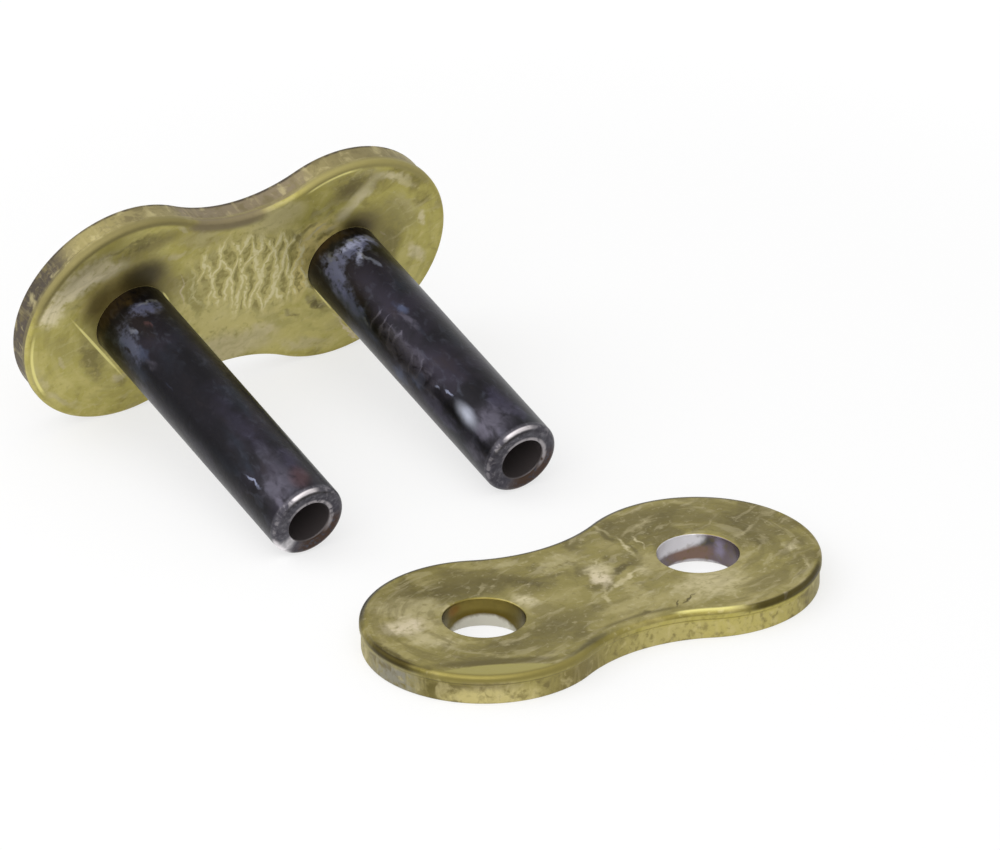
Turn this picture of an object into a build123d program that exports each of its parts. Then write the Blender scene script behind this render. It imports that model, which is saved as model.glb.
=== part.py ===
"""Rivet-type connecting link for a 15.875 mm pitch motorcycle roller chain.

The set is two stamped outer plates and two hollow-ended pins. One plate already carries
both pins, driven into its holes and riveted over on its outer face. The other plate is
loose: it is pressed onto the free pin ends when the chain is closed.

The set lies on the plane Z = 0. The loose plate lies flat in front. The pinned plate
leans forward behind it, held up by the two free pin ends. X runs along the pitch, the
pins point towards -Y, and Z is up. The origin is the middle of the set's footprint.
"""

import os
from math import asin, atan2, cos, degrees, hypot, radians, sin, tan

from build123d import *

# ---------------------------------------------------------------- driving sizes, in mm

PITCH = 15.875  # between the two pin axes
PLATE_THICKNESS = 2.0
LOBE_RADIUS = 7.75  # round end of a plate, at its lip
WAIST_HALF = 5.9  # half the plate's height at its waist, at its lip

# A stamped edge has a full-size lip on one face and a slightly smaller sheared wall.
LIP_HEIGHT = 0.55
LIP_STEP = 0.12
LIP_BREAK = 0.25  # chamfer along the lip's edge
WALL_BREAK = 0.15  # chamfer along the sheared wall's far edge
HOLE_BREAK = 0.12  # chamfer on the rim of a hole

PIN_RADIUS = 2.575
PIN_REACH = 22.2  # from the pinned plate's inner face to the pin's free end
PRESS_CLEARANCE = 0.0  # a pin and the loose plate's hole meet line to line

# The free end is hollow, so that it can be spread over the loose plate.
TIP_ROUND = 0.45
RIVET_BORE_RADIUS = 1.45
RIVET_BORE_DEPTH = 3.5
RIVET_BORE_BREAK = 0.15
DRILL_POINT = 118.0  # included angle of the bore's bottom, in degrees

# The other end is driven into its plate and riveted over: it wedges in a slight taper,
# flares into a countersink and stands proud.
SEAT_TAPER = 0.03  # how much the radius shrinks through the plate
HEAD_FLARE = 0.25
HEAD_PROUD = 0.45
HEAD_BREAK = 0.15
HEAD_DIMPLE_RADIUS = 1.15
HEAD_DIMPLE_DEPTH = 0.35

# How the two pieces of the set lie beside each other.
SET_GAP = 7.6  # along Y, from the pin ends to the loose plate
SET_SHIFT = -2.9  # along X, of the pinned plate against the loose one

# ---------------------------------------------------------------- sizes worked out

HOLE_RADIUS = PIN_RADIUS + PRESS_CLEARANCE
HALF_PITCH = PITCH / 2
PIN_SIDES = {"left": -HALF_PITCH, "right": HALF_PITCH}

# The leaning plate touches the ground with its lip's lower corner, and each pin with its
# rounded end. The corner and the middle of that round lie this far apart along the pins
# and across them.
lean_run = LIP_BREAK + PIN_REACH - TIP_ROUND
lean_rise = LOBE_RADIUS - (PIN_RADIUS - TIP_ROUND)
LEAN = atan2(lean_rise, lean_run) - asin(TIP_ROUND / hypot(lean_run, lean_rise))

# Middle of the pinned plate's inner face: its height, and its place behind the loose plate.
seat_height = LOBE_RADIUS * cos(LEAN) - LIP_BREAK * sin(LEAN)
round_ahead = (PIN_REACH - TIP_ROUND) * cos(LEAN) + (PIN_RADIUS - TIP_ROUND) * sin(LEAN)
seat_behind = LOBE_RADIUS + SET_GAP + round_ahead + TIP_ROUND

# Furthest back that the leaning plate reaches behind that middle, at its lower edge.
far_face_radius = LOBE_RADIUS - LIP_STEP - WALL_BREAK
plate_behind = PLATE_THICKNESS * cos(LEAN) + far_face_radius * sin(LEAN)

# The origin is halfway along the set and halfway across it.
loose_x = -SET_SHIFT / 2
loose_y = LOBE_RADIUS - (LOBE_RADIUS + seat_behind + plate_behind) / 2
seat_x = SET_SHIFT / 2
seat_y = loose_y + seat_behind

# A plate is drawn on its lip face, whose normal points out of the plate.
loose_lip_face = Plane(origin=(loose_x, loose_y, PLATE_THICKNESS))
pin_direction = Vector(0, -cos(LEAN), -sin(LEAN))
pinned_lip_face = Plane(origin=(seat_x, seat_y, seat_height), x_dir=(1, 0, 0), z_dir=pin_direction)


def draw_outline(plane: Plane, inset: float) -> BuildSketch:
    """A plate's outline: two lobes joined by tangent waist arcs, all drawn in by inset."""
    lobe = LOBE_RADIUS - inset
    waist = WAIST_HALF - inset
    waist_radius = (HALF_PITCH**2 + waist**2 - lobe**2) / (2 * (lobe - waist))
    # The point where a lobe meets its waist arc lies on the line between their centres.
    share = lobe / (lobe + waist_radius)
    meet_x = HALF_PITCH * (1 - share)
    meet_y = (waist + waist_radius) * share
    end_x = HALF_PITCH + lobe
    with BuildSketch(plane) as outline:
        with BuildLine():
            ThreePointArc((meet_x, -meet_y), (end_x, 0), (meet_x, meet_y))
            ThreePointArc((meet_x, meet_y), (0, waist), (-meet_x, meet_y))
            ThreePointArc((-meet_x, meet_y), (-end_x, 0), (-meet_x, -meet_y))
            ThreePointArc((-meet_x, -meet_y), (0, -waist), (meet_x, -meet_y))
        make_face()
    return outline


def stamp_plate(lip_face: Plane) -> BuildPart:
    """A plate as it leaves the blanking die, before its holes, with its lip on lip_face."""
    lip = draw_outline(lip_face, 0)
    wall = draw_outline(lip_face, LIP_STEP)
    through = Axis(lip_face.origin, lip_face.z_dir)
    with BuildPart() as plate:
        extrude(lip.sketch, amount=-LIP_HEIGHT)
        extrude(wall.sketch, amount=-PLATE_THICKNESS)
        chamfer(faces().sort_by(through)[-1].edges(), LIP_BREAK)
        chamfer(faces().sort_by(through)[0].edges(), WALL_BREAK)
    return plate


def turn_pin(side_x: float) -> BuildPart:
    """One pin, turned about its axis, side_x from the middle of the pinned plate."""
    seat = pinned_lip_face.from_local_coords((side_x, 0, 0))
    # Across the sketch is out from the pin's axis, and up is towards the free end.
    section = Plane(origin=seat, x_dir=(1, 0, 0), z_dir=Vector(1, 0, 0).cross(pin_direction))
    outer_face = -PLATE_THICKNESS
    head_end = outer_face - HEAD_PROUD
    head_radius = PIN_RADIUS + HEAD_FLARE
    seat_radius = PIN_RADIUS - SEAT_TAPER
    flare_start = outer_face + head_radius - seat_radius
    bore_bottom = PIN_REACH - RIVET_BORE_DEPTH
    bore_point = bore_bottom - RIVET_BORE_RADIUS / tan(radians(DRILL_POINT / 2))
    with BuildPart() as pin:
        with BuildSketch(section):
            with BuildLine():
                Polyline(
                    (0, head_end + HEAD_DIMPLE_DEPTH),
                    (HEAD_DIMPLE_RADIUS, head_end),
                    (head_radius, head_end),
                    (head_radius, outer_face),
                    (seat_radius, flare_start),
                    (PIN_RADIUS, 0),
                    (PIN_RADIUS, PIN_REACH),
                    (RIVET_BORE_RADIUS, PIN_REACH),
                    (RIVET_BORE_RADIUS, bore_bottom),
                    (0, bore_point),
                    close=True,
                )
            make_face()
            chamfer(vertices().group_by(Axis.Y)[0].sort_by(Axis.X)[-1], HEAD_BREAK)
            fillet(vertices().group_by(Axis.Y)[-1].sort_by(Axis.X)[-1], TIP_ROUND)
            chamfer(vertices().group_by(Axis.Y)[-1].sort_by(Axis.X)[0], RIVET_BORE_BREAK)
        revolve(axis=Axis(seat, pin_direction))
    return pin


os.makedirs("parts", exist_ok=True)

pins = {side: turn_pin(side_x) for side, side_x in PIN_SIDES.items()}
for side, pin in pins.items():
    pin.part.label = f"{side}_pin"
    export_step(pin.part, f"parts/{side}_pin.step")

with BuildPart() as pinned_plate:
    add(stamp_plate(pinned_lip_face).part)
    # Driving and riveting leave the holes with exactly the form of the pins in them.
    for pin in pins.values():
        add(pin.part, mode=Mode.SUBTRACT)
    inner_face = faces().sort_by(Axis(pinned_lip_face.origin, pin_direction))[-1]
    chamfer(inner_face.inner_wires().edges(), HOLE_BREAK)
pinned_plate.part.label = "pinned_plate"
export_step(pinned_plate.part, "parts/pinned_plate.step")

with BuildPart() as loose_plate:
    add(stamp_plate(loose_lip_face).part)
    with Locations(*(loose_lip_face * Pos(side_x, 0, 0) for side_x in PIN_SIDES.values())):
        Hole(HOLE_RADIUS)
    for side in (0, -1):
        chamfer(faces().sort_by(Axis.Z)[side].inner_wires().edges(), HOLE_BREAK)
loose_plate.part.label = "loose_plate"
export_step(loose_plate.part, "parts/loose_plate.step")

print(f"lean {degrees(LEAN):.3f} degrees")
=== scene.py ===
"""Scene of a rivet-type connecting link for a 15.875 mm pitch roller chain.

Two stamped gold-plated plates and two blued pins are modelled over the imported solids,
dressed with procedural finishes and set on a pale studio floor.
"""

import logging
from dataclasses import dataclass, replace
from enum import Enum
from math import asin, atan2, cos, hypot, pi, radians, sin, tan
from typing import Any, Callable, Iterable, Mapping, Optional, Tuple, Union

import bmesh
import bpy
from mathutils import Matrix, Vector

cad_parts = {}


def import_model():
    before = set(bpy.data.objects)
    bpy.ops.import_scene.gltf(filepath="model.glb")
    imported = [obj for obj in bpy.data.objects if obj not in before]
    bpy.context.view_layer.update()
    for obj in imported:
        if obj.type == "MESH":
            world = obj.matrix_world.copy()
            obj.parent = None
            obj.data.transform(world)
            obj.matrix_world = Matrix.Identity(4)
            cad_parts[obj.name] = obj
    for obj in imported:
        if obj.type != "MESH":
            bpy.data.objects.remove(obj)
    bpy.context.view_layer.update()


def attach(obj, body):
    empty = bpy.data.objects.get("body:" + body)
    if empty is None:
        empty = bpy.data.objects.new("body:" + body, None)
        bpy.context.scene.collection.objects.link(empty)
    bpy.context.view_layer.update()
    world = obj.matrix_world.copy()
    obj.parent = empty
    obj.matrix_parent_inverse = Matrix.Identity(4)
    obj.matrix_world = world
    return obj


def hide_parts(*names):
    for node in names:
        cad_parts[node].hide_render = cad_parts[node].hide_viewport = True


log = logging.getLogger("connecting_link")

MM = 0.001
ROOT_BODY = "root"

Tone = Tuple[float, float, float]
Point = Tuple[float, float, float]


def tone(code: str) -> Tone:
    """Turns a screen colour into a linear one.

    Args:
        code: Six hexadecimal digits, two each for red, green and blue.

    Returns:
        The linear red, green and blue.
    """
    shares = [int(code[at:at + 2], 16) / 255 for at in (0, 2, 4)]
    return tuple(s / 12.92 if s <= 0.04045 else ((s + 0.055) / 1.055) ** 2.4 for s in shares)


# ------------------------------------------------------------------ shader expressions


class Shade:
    """A shader value that Python's operators combine by adding Math nodes."""

    def __init__(self, bench: "NodeBench", socket: bpy.types.NodeSocket) -> None:
        """Wraps a socket of the bench's tree."""
        self.bench = bench
        self.socket = socket

    def _math(self, operation: str, *terms: "Operand") -> "Shade":
        """Adds one Math node on the terms."""
        return self.bench.node("ShaderNodeMath", {"operation": operation}, dict(enumerate(terms)))

    def __add__(self, other: "Operand") -> "Shade":
        """Adds."""
        return self._math("ADD", self, other)

    def __radd__(self, other: "Operand") -> "Shade":
        """Adds to a plain number."""
        return self._math("ADD", other, self)

    def __sub__(self, other: "Operand") -> "Shade":
        """Subtracts."""
        return self._math("SUBTRACT", self, other)

    def __rsub__(self, other: "Operand") -> "Shade":
        """Subtracts from a plain number."""
        return self._math("SUBTRACT", other, self)

    def __mul__(self, other: "Operand") -> "Shade":
        """Multiplies."""
        return self._math("MULTIPLY", self, other)

    def __rmul__(self, other: "Operand") -> "Shade":
        """Multiplies a plain number."""
        return self._math("MULTIPLY", other, self)

    def __truediv__(self, other: "Operand") -> "Shade":
        """Divides."""
        return self._math("DIVIDE", self, other)

    def __rtruediv__(self, other: "Operand") -> "Shade":
        """Divides a plain number."""
        return self._math("DIVIDE", other, self)

    def __abs__(self) -> "Shade":
        """Takes the size without the sign."""
        return self._math("ABSOLUTE", self)

    def least(self, other: "Operand") -> "Shade":
        """Takes the smaller of two values."""
        return self._math("MINIMUM", self, other)

    def most(self, other: "Operand") -> "Shade":
        """Takes the larger of two values."""
        return self._math("MAXIMUM", self, other)

    def turn_from(self, along: "Operand") -> "Shade":
        """Takes the angle of a direction, from its part across and its part along."""
        return self._math("ARCTAN2", self, along)

    def root(self) -> "Shade":
        """Takes the square root."""
        return self._math("SQRT", self)

    def ramp(self, low: float, high: float, top: float = 1.0) -> "Shade":
        """Rises smoothly from 0 at low to top at high, or falls where low is above high.

        Args:
            low: The value that gives 0.
            high: The value that gives top.
            top: The highest value.

        Returns:
            A value from 0 to top.
        """
        rising = low < high
        start, end = (low, high) if rising else (high, low)
        at_start, at_end = (0.0, top) if rising else (top, 0.0)
        limits = {"From Min": start, "From Max": end, "To Min": at_start, "To Max": at_end}
        return self.bench.node(
            "ShaderNodeMapRange", {"interpolation_type": "SMOOTHSTEP"}, {"Value": self, **limits}
        )


Operand = Union[Shade, float, int]

RELIEF_DEPTH = 0.5  # of a finish whose height runs from 0 to 1, in mm
RELIEF_STRENGTH = 0.3


class NodeBench:
    """Adds nodes to one material's or world's tree."""

    def __init__(self, owner: Union[bpy.types.Material, bpy.types.World]) -> None:
        """Empties the owner's node tree and works on it.

        Args:
            owner: The material or world.
        """
        owner.use_nodes = True
        self.tree = owner.node_tree
        self.tree.nodes.clear()

    @staticmethod
    def _find(sockets: Any, key: Union[int, str]) -> bpy.types.NodeSocket:
        """Finds one socket among a node's.

        Args:
            sockets: The node's inputs or outputs.
            key: The socket's number, identifier or name.

        Returns:
            The socket.
        """
        if isinstance(key, int):
            return sockets[key]
        return next(s for s in sockets if key in (s.identifier, s.name))

    def node(
        self,
        kind: str,
        settings: Optional[Mapping[str, Any]] = None,
        inputs: Optional[Mapping[Union[int, str], Any]] = None,
        output: Union[int, str] = 0,
    ) -> Shade:
        """Adds one node.

        Args:
            kind: The node's type.
            settings: Its properties, set before its sockets.
            inputs: The value or link of each socket, by number, identifier or name.
            output: The socket to hand back.

        Returns:
            The chosen output, or None from a node that has none.
        """
        made = self.tree.nodes.new(kind)
        for name, value in (settings or {}).items():
            setattr(made, name, value)
        for key, value in (inputs or {}).items():
            target = self._find(made.inputs, key)
            if isinstance(value, Shade):
                self.tree.links.new(value.socket, target)
            elif target.type == "RGBA" and len(value) == 3:
                target.default_value = (*value, 1.0)
            else:
                target.default_value = value
        return Shade(self, self._find(made.outputs, output)) if made.outputs else None

    def mix(self, share: Operand, under: Any, over: Any) -> Shade:
        """Lays one colour over another.

        Args:
            share: How much of the upper colour shows, from 0 to 1.
            under: The lower colour.
            over: The upper colour.

        Returns:
            The mixed colour.
        """
        return self.node(
            "ShaderNodeMix",
            {"data_type": "RGBA"},
            {"Factor_Float": share, "A_Color": under, "B_Color": over},
            "Result_Color",
        )

    def noise(self, place: Shade, scale: float, detail: float = 3.0, warp: float = 0.0) -> Shade:
        """Makes a soft random value round 0.5, in scale patches per unit of the place."""
        inputs = {"Vector": place, "Scale": scale, "Detail": detail, "Distortion": warp}
        return self.node("ShaderNodeTexNoise", None, inputs)

    def moved(self, place: Shade, origin: Point, turn: Point, scale: Point) -> Shade:
        """Expresses coordinates in a frame that is moved, turned and scaled.

        Args:
            place: The coordinates.
            origin: Where the frame's origin is.
            turn: The frame's Euler angles.
            scale: The length of the frame's unit along each of its axes.

        Returns:
            The coordinates in the frame.
        """
        return self.node(
            "ShaderNodeMapping",
            {"vector_type": "TEXTURE"},
            {"Vector": place, "Location": origin, "Rotation": turn, "Scale": scale},
        )

    def stretched(self, place: Shade, scale: Point, turn: float = 0.0) -> Shade:
        """Expresses coordinates in a frame that is stretched, and turned about Z by degrees."""
        return self.moved(place, (0.0, 0.0, 0.0), (0.0, 0.0, radians(turn)), scale)

    def noise_vector(self, place: Shade, scale: float, detail: float) -> Shade:
        """Makes a soft random vector round (0.5, 0.5, 0.5)."""
        inputs = {"Vector": place, "Scale": scale, "Detail": detail}
        return self.node("ShaderNodeTexNoise", None, inputs, "Color")

    def swirled(self, place: Shade, stray: Shade, reach: float) -> Shade:
        """Leads coordinates astray along a random vector.

        Args:
            place: The coordinates.
            stray: The random vector.
            reach: How far the vector's range of 0 to 1 leads.

        Returns:
            The coordinates, astray.
        """
        inputs = {0: stray, 1: (reach, reach, 0.0), 2: place}
        moved = self.node("ShaderNodeVectorMath", {"operation": "MULTIPLY_ADD"}, inputs)
        return self.added(moved, (-reach / 2, -reach / 2, 0.0))

    def added(self, vector: Shade, step: Point) -> Shade:
        """Adds a fixed step to a vector."""
        return self.node("ShaderNodeVectorMath", {"operation": "ADD"}, {0: vector, 1: step})

    def finish(
        self, colour: Shade, metallic: Operand, roughness: Operand, height: Operand
    ) -> None:
        """Ends the tree with one metal shader over a faint relief.

        Args:
            colour: The metal's colour.
            metallic: How metallic it looks, from 0 to 1.
            roughness: How dull it is, from 0 to 1.
            height: The relief's height, from 0 to 1.
        """
        relief = {"Strength": RELIEF_STRENGTH, "Distance": MM * RELIEF_DEPTH, "Height": height}
        skin = {
            "Base Color": colour,
            "Metallic": metallic,
            "Roughness": roughness,
            "Normal": self.node("ShaderNodeBump", None, relief),
        }
        surface = self.node("ShaderNodeBsdfPrincipled", None, skin)
        self.node("ShaderNodeOutputMaterial", None, {"Surface": surface})

    def length(self, vector: Shade) -> Shade:
        """Measures a vector."""
        return self.node("ShaderNodeVectorMath", {"operation": "LENGTH"}, {0: vector}, "Value")

    def joined(self, x: Operand, y: Operand, z: Operand = 0.0) -> Shade:
        """Joins three values into a vector."""
        return self.node("ShaderNodeCombineXYZ", None, {"X": x, "Y": y, "Z": z})

    def parts(self, vector: Shade) -> Tuple[Shade, Shade, Shade]:
        """Splits a vector into its X, Y and Z."""
        first = self.node("ShaderNodeSeparateXYZ", None, {0: vector})
        return tuple(Shade(self, socket) for socket in first.socket.node.outputs)


# ------------------------------------------------------------------ sizes of the link


@dataclass(frozen=True)
class LinkSizes:
    """The link's sizes in millimetres, and how its pieces lie."""

    pitch: float = 15.875
    thickness: float = 2.0
    lobe_radius: float = 7.75
    waist_half: float = 5.9
    lip_height: float = 0.55
    lip_step: float = 0.12
    lip_break: float = 0.25
    wall_break: float = 0.15
    hole_break: float = 0.12
    pin_radius: float = 2.575
    pin_reach: float = 22.2
    tip_round: float = 0.45
    bore_radius: float = 1.45
    bore_depth: float = 3.5
    bore_break: float = 0.15
    drill_point: float = 118.0  # the whole angle of the bore's bottom, in degrees
    head_flare: float = 0.25
    head_proud: float = 0.45
    head_break: float = 0.15
    dimple_radius: float = 1.15
    dimple_depth: float = 0.35
    set_gap: float = 7.6  # along Y, from the pins' ends to the loose plate
    set_shift: float = -2.9  # along X, of the pinned plate against the loose one

    @property
    def half_pitch(self) -> float:
        """Distance of a pin's axis from the plate's middle."""
        return self.pitch / 2

    @property
    def waist_radius(self) -> float:
        """Radius of the hollow arc that joins the two lobes."""
        lobe, waist = self.lobe_radius, self.waist_half
        return (self.half_pitch**2 + waist**2 - lobe**2) / (2 * (lobe - waist))

    @property
    def waist_centre(self) -> float:
        """Height of the hollow arc's centre over the plate's middle."""
        return self.waist_half + self.waist_radius

    @property
    def meet_angle(self) -> float:
        """Direction from a lobe's centre to where its edge meets the waist arc."""
        return pi - atan2(self.waist_centre, self.half_pitch)

    @property
    def lean(self) -> float:
        """Angle at which the pinned plate leans and its pins slope.

        The lip's lower corner and the rounded pin ends all touch the floor.

        Returns:
            The angle in radians.
        """
        run = self.lip_break + self.pin_reach - self.tip_round
        rise = self.lobe_radius - (self.pin_radius - self.tip_round)
        return atan2(rise, run) - asin(self.tip_round / hypot(run, rise))

    @property
    def loose_seat(self) -> Point:
        """Middle of the loose plate's lip face.

        Returns:
            The point, with the origin halfway along and across the whole set.
        """
        far_radius = self.lobe_radius - self.lip_step - self.wall_break
        plate_behind = self.thickness * cos(self.lean) + far_radius * sin(self.lean)
        span = self.lobe_radius + self.seat_behind + plate_behind
        return (-self.set_shift / 2, self.lobe_radius - span / 2, self.thickness)

    @property
    def seat_behind(self) -> float:
        """How far the pinned plate's middle lies behind the loose plate's.

        Returns:
            The distance along Y.
        """
        round_ahead = (self.pin_reach - self.tip_round) * cos(self.lean)
        round_ahead += (self.pin_radius - self.tip_round) * sin(self.lean)
        return self.lobe_radius + self.set_gap + round_ahead + self.tip_round

    @property
    def pinned_seat(self) -> Point:
        """Middle of the pinned plate's lip face."""
        height = self.lobe_radius * cos(self.lean) - self.lip_break * sin(self.lean)
        return (self.set_shift / 2, self.loose_seat[1] + self.seat_behind, height)


@dataclass(frozen=True)
class Seat:
    """Where a piece lies: its own frame's origin in millimetres and its tilt about X."""

    origin: Point
    tilt: float = 0.0

    def shifted(self, along_x: float) -> "Seat":
        """The same seat, moved along X."""
        return Seat((self.origin[0] + along_x, *self.origin[1:]), self.tilt)

    def settle(self, piece: bpy.types.Object) -> None:
        """Brings a piece from its own frame in millimetres to its place in metres.

        Args:
            piece: The piece, whose object ends at the origin, unturned and unscaled.
        """
        place = Matrix.Translation(Vector(self.origin) * MM)
        piece.matrix_world = place @ Matrix.Rotation(self.tilt, 4, "X") @ Matrix.Scale(MM, 4)
        bpy.ops.object.select_all(action="DESELECT")
        piece.select_set(True)
        bpy.context.view_layer.objects.active = piece
        bpy.ops.object.transform_apply(location=True, rotation=True, scale=True)

    def own_place(self, bench: NodeBench) -> Shade:
        """Gives a finish the piece's own coordinates in millimetres.

        Args:
            bench: The finish's nodes.

        Returns:
            The coordinates.
        """
        where = bench.node("ShaderNodeTexCoord", None, None, "Object")
        origin = tuple(value * MM for value in self.origin)
        return bench.moved(where, origin, (self.tilt, 0.0, 0.0), (MM, MM, MM))


# ------------------------------------------------------------------ finishes


THROUGH = 1000.0  # the depth of a patch that has none of its own
SPREAD = 1.2  # how far the fading rim of a patch reaches past its own size
DULLING = 0.8  # how much of its metallic look a chalky place, or a pale patch of uncoated steel and painted reflection, loses


@dataclass(frozen=True)
class Spot:
    """A soft oval patch of colour, in a piece's own millimetres.

    On a plate its place is along the pitch, across it and up from the lip face. On a pin
    it is round the shank from the side that faces up, and along the shank.
    """

    at: Tuple[float, ...]
    reach: Tuple[float, ...]
    turn: float
    colour: Tone
    strength: float
    core: float = 0.2  # the share of its reach that it covers fully
    fray: float = 1.0  # how much of the finish's raggedness it takes up

    def share(self, bench: NodeBench, place: Shade, ragged: Operand = 0.0) -> Shade:
        """Says how strongly the patch covers a point.

        Args:
            bench: The finish's nodes.
            place: The point.
            ragged: A small random value round 0 that frays the patch.

        Returns:
            From 0 outside the patch to its strength in its core.
        """
        at = (*self.at, 0.0)[:3]
        reach = (*(side * SPREAD for side in self.reach), THROUGH)[:3]
        own = bench.moved(place, at, (0.0, 0.0, radians(self.turn)), reach)
        nearness = bench.node(
            "ShaderNodeTexGradient", {"gradient_type": "SPHERICAL"}, {"Vector": own}, "Fac"
        )
        if self.fray != 1.0:
            ragged = ragged * self.fray
        if isinstance(ragged, Shade):
            nearness = nearness * (1.0 + ragged)
        return nearness.ramp(0.0, 1.0 - self.core, self.strength)


def marks(*rows: Tuple[Any, ...]) -> Tuple[Spot, ...]:
    """Makes flat patches from rows of numbers.

    Args:
        rows: Two numbers of place and two of reach, the turn, the colour and the strength,
            and then the core and the fray where they aren't the usual ones.

    Returns:
        The patches in the rows' order.
    """
    return tuple(Spot(row[0:2], row[2:4], *row[4:]) for row in rows)


def lay_spots(
    bench: NodeBench, colour: Shade, place: Shade, spots: Iterable[Spot], ragged: Operand = 0.0
) -> Shade:
    """Lays patches over a colour, one after another.

    Args:
        bench: The finish's nodes.
        colour: The colour below.
        place: The point in the spots' coordinates.
        spots: The patches, the lowest first.
        ragged: A small random value round 0 that frays the patches.

    Returns:
        The colour with the patches on it.
    """
    for spot in spots:
        colour = bench.mix(spot.share(bench, place, ragged), colour, spot.colour)
    return colour


@dataclass(frozen=True)
class EdgeBand:
    """A band of colour along part of a plate's outline, inner to outer in mm outside it."""

    inner: float
    outer: float
    where: Spot
    soft: float = 0.12

    def share(self, bench: NodeBench, place: Shade, outside: Shade) -> Shade:
        """Says how strongly the band covers a point.

        Args:
            bench: The finish's nodes.
            place: The point.
            outside: How far the point lies outside the outline.

        Returns:
            From 0 beside the band to its strength in its middle.
        """
        risen = outside.ramp(self.inner - self.soft, self.inner + self.soft)
        fallen = outside.ramp(self.outer + self.soft, self.outer - self.soft)
        return risen * fallen * self.where.share(bench, place)


@dataclass(frozen=True)
class PlatePoint:
    """A point on a plate, and the random patterns there that its whole finish shares."""

    place: Shade  # along the pitch, across it, and up from the lip face
    shifted: Shade  # the same, moved by the finish's seed
    along: Shade
    across: Shade
    depth: Shade
    outside: Shade  # how far it lies outside the plate's outline
    radius: Shade  # from the nearer hole's axis
    mottle: Shade
    flecks: Shade
    grain: Shade
    ragged: Shade


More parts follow.
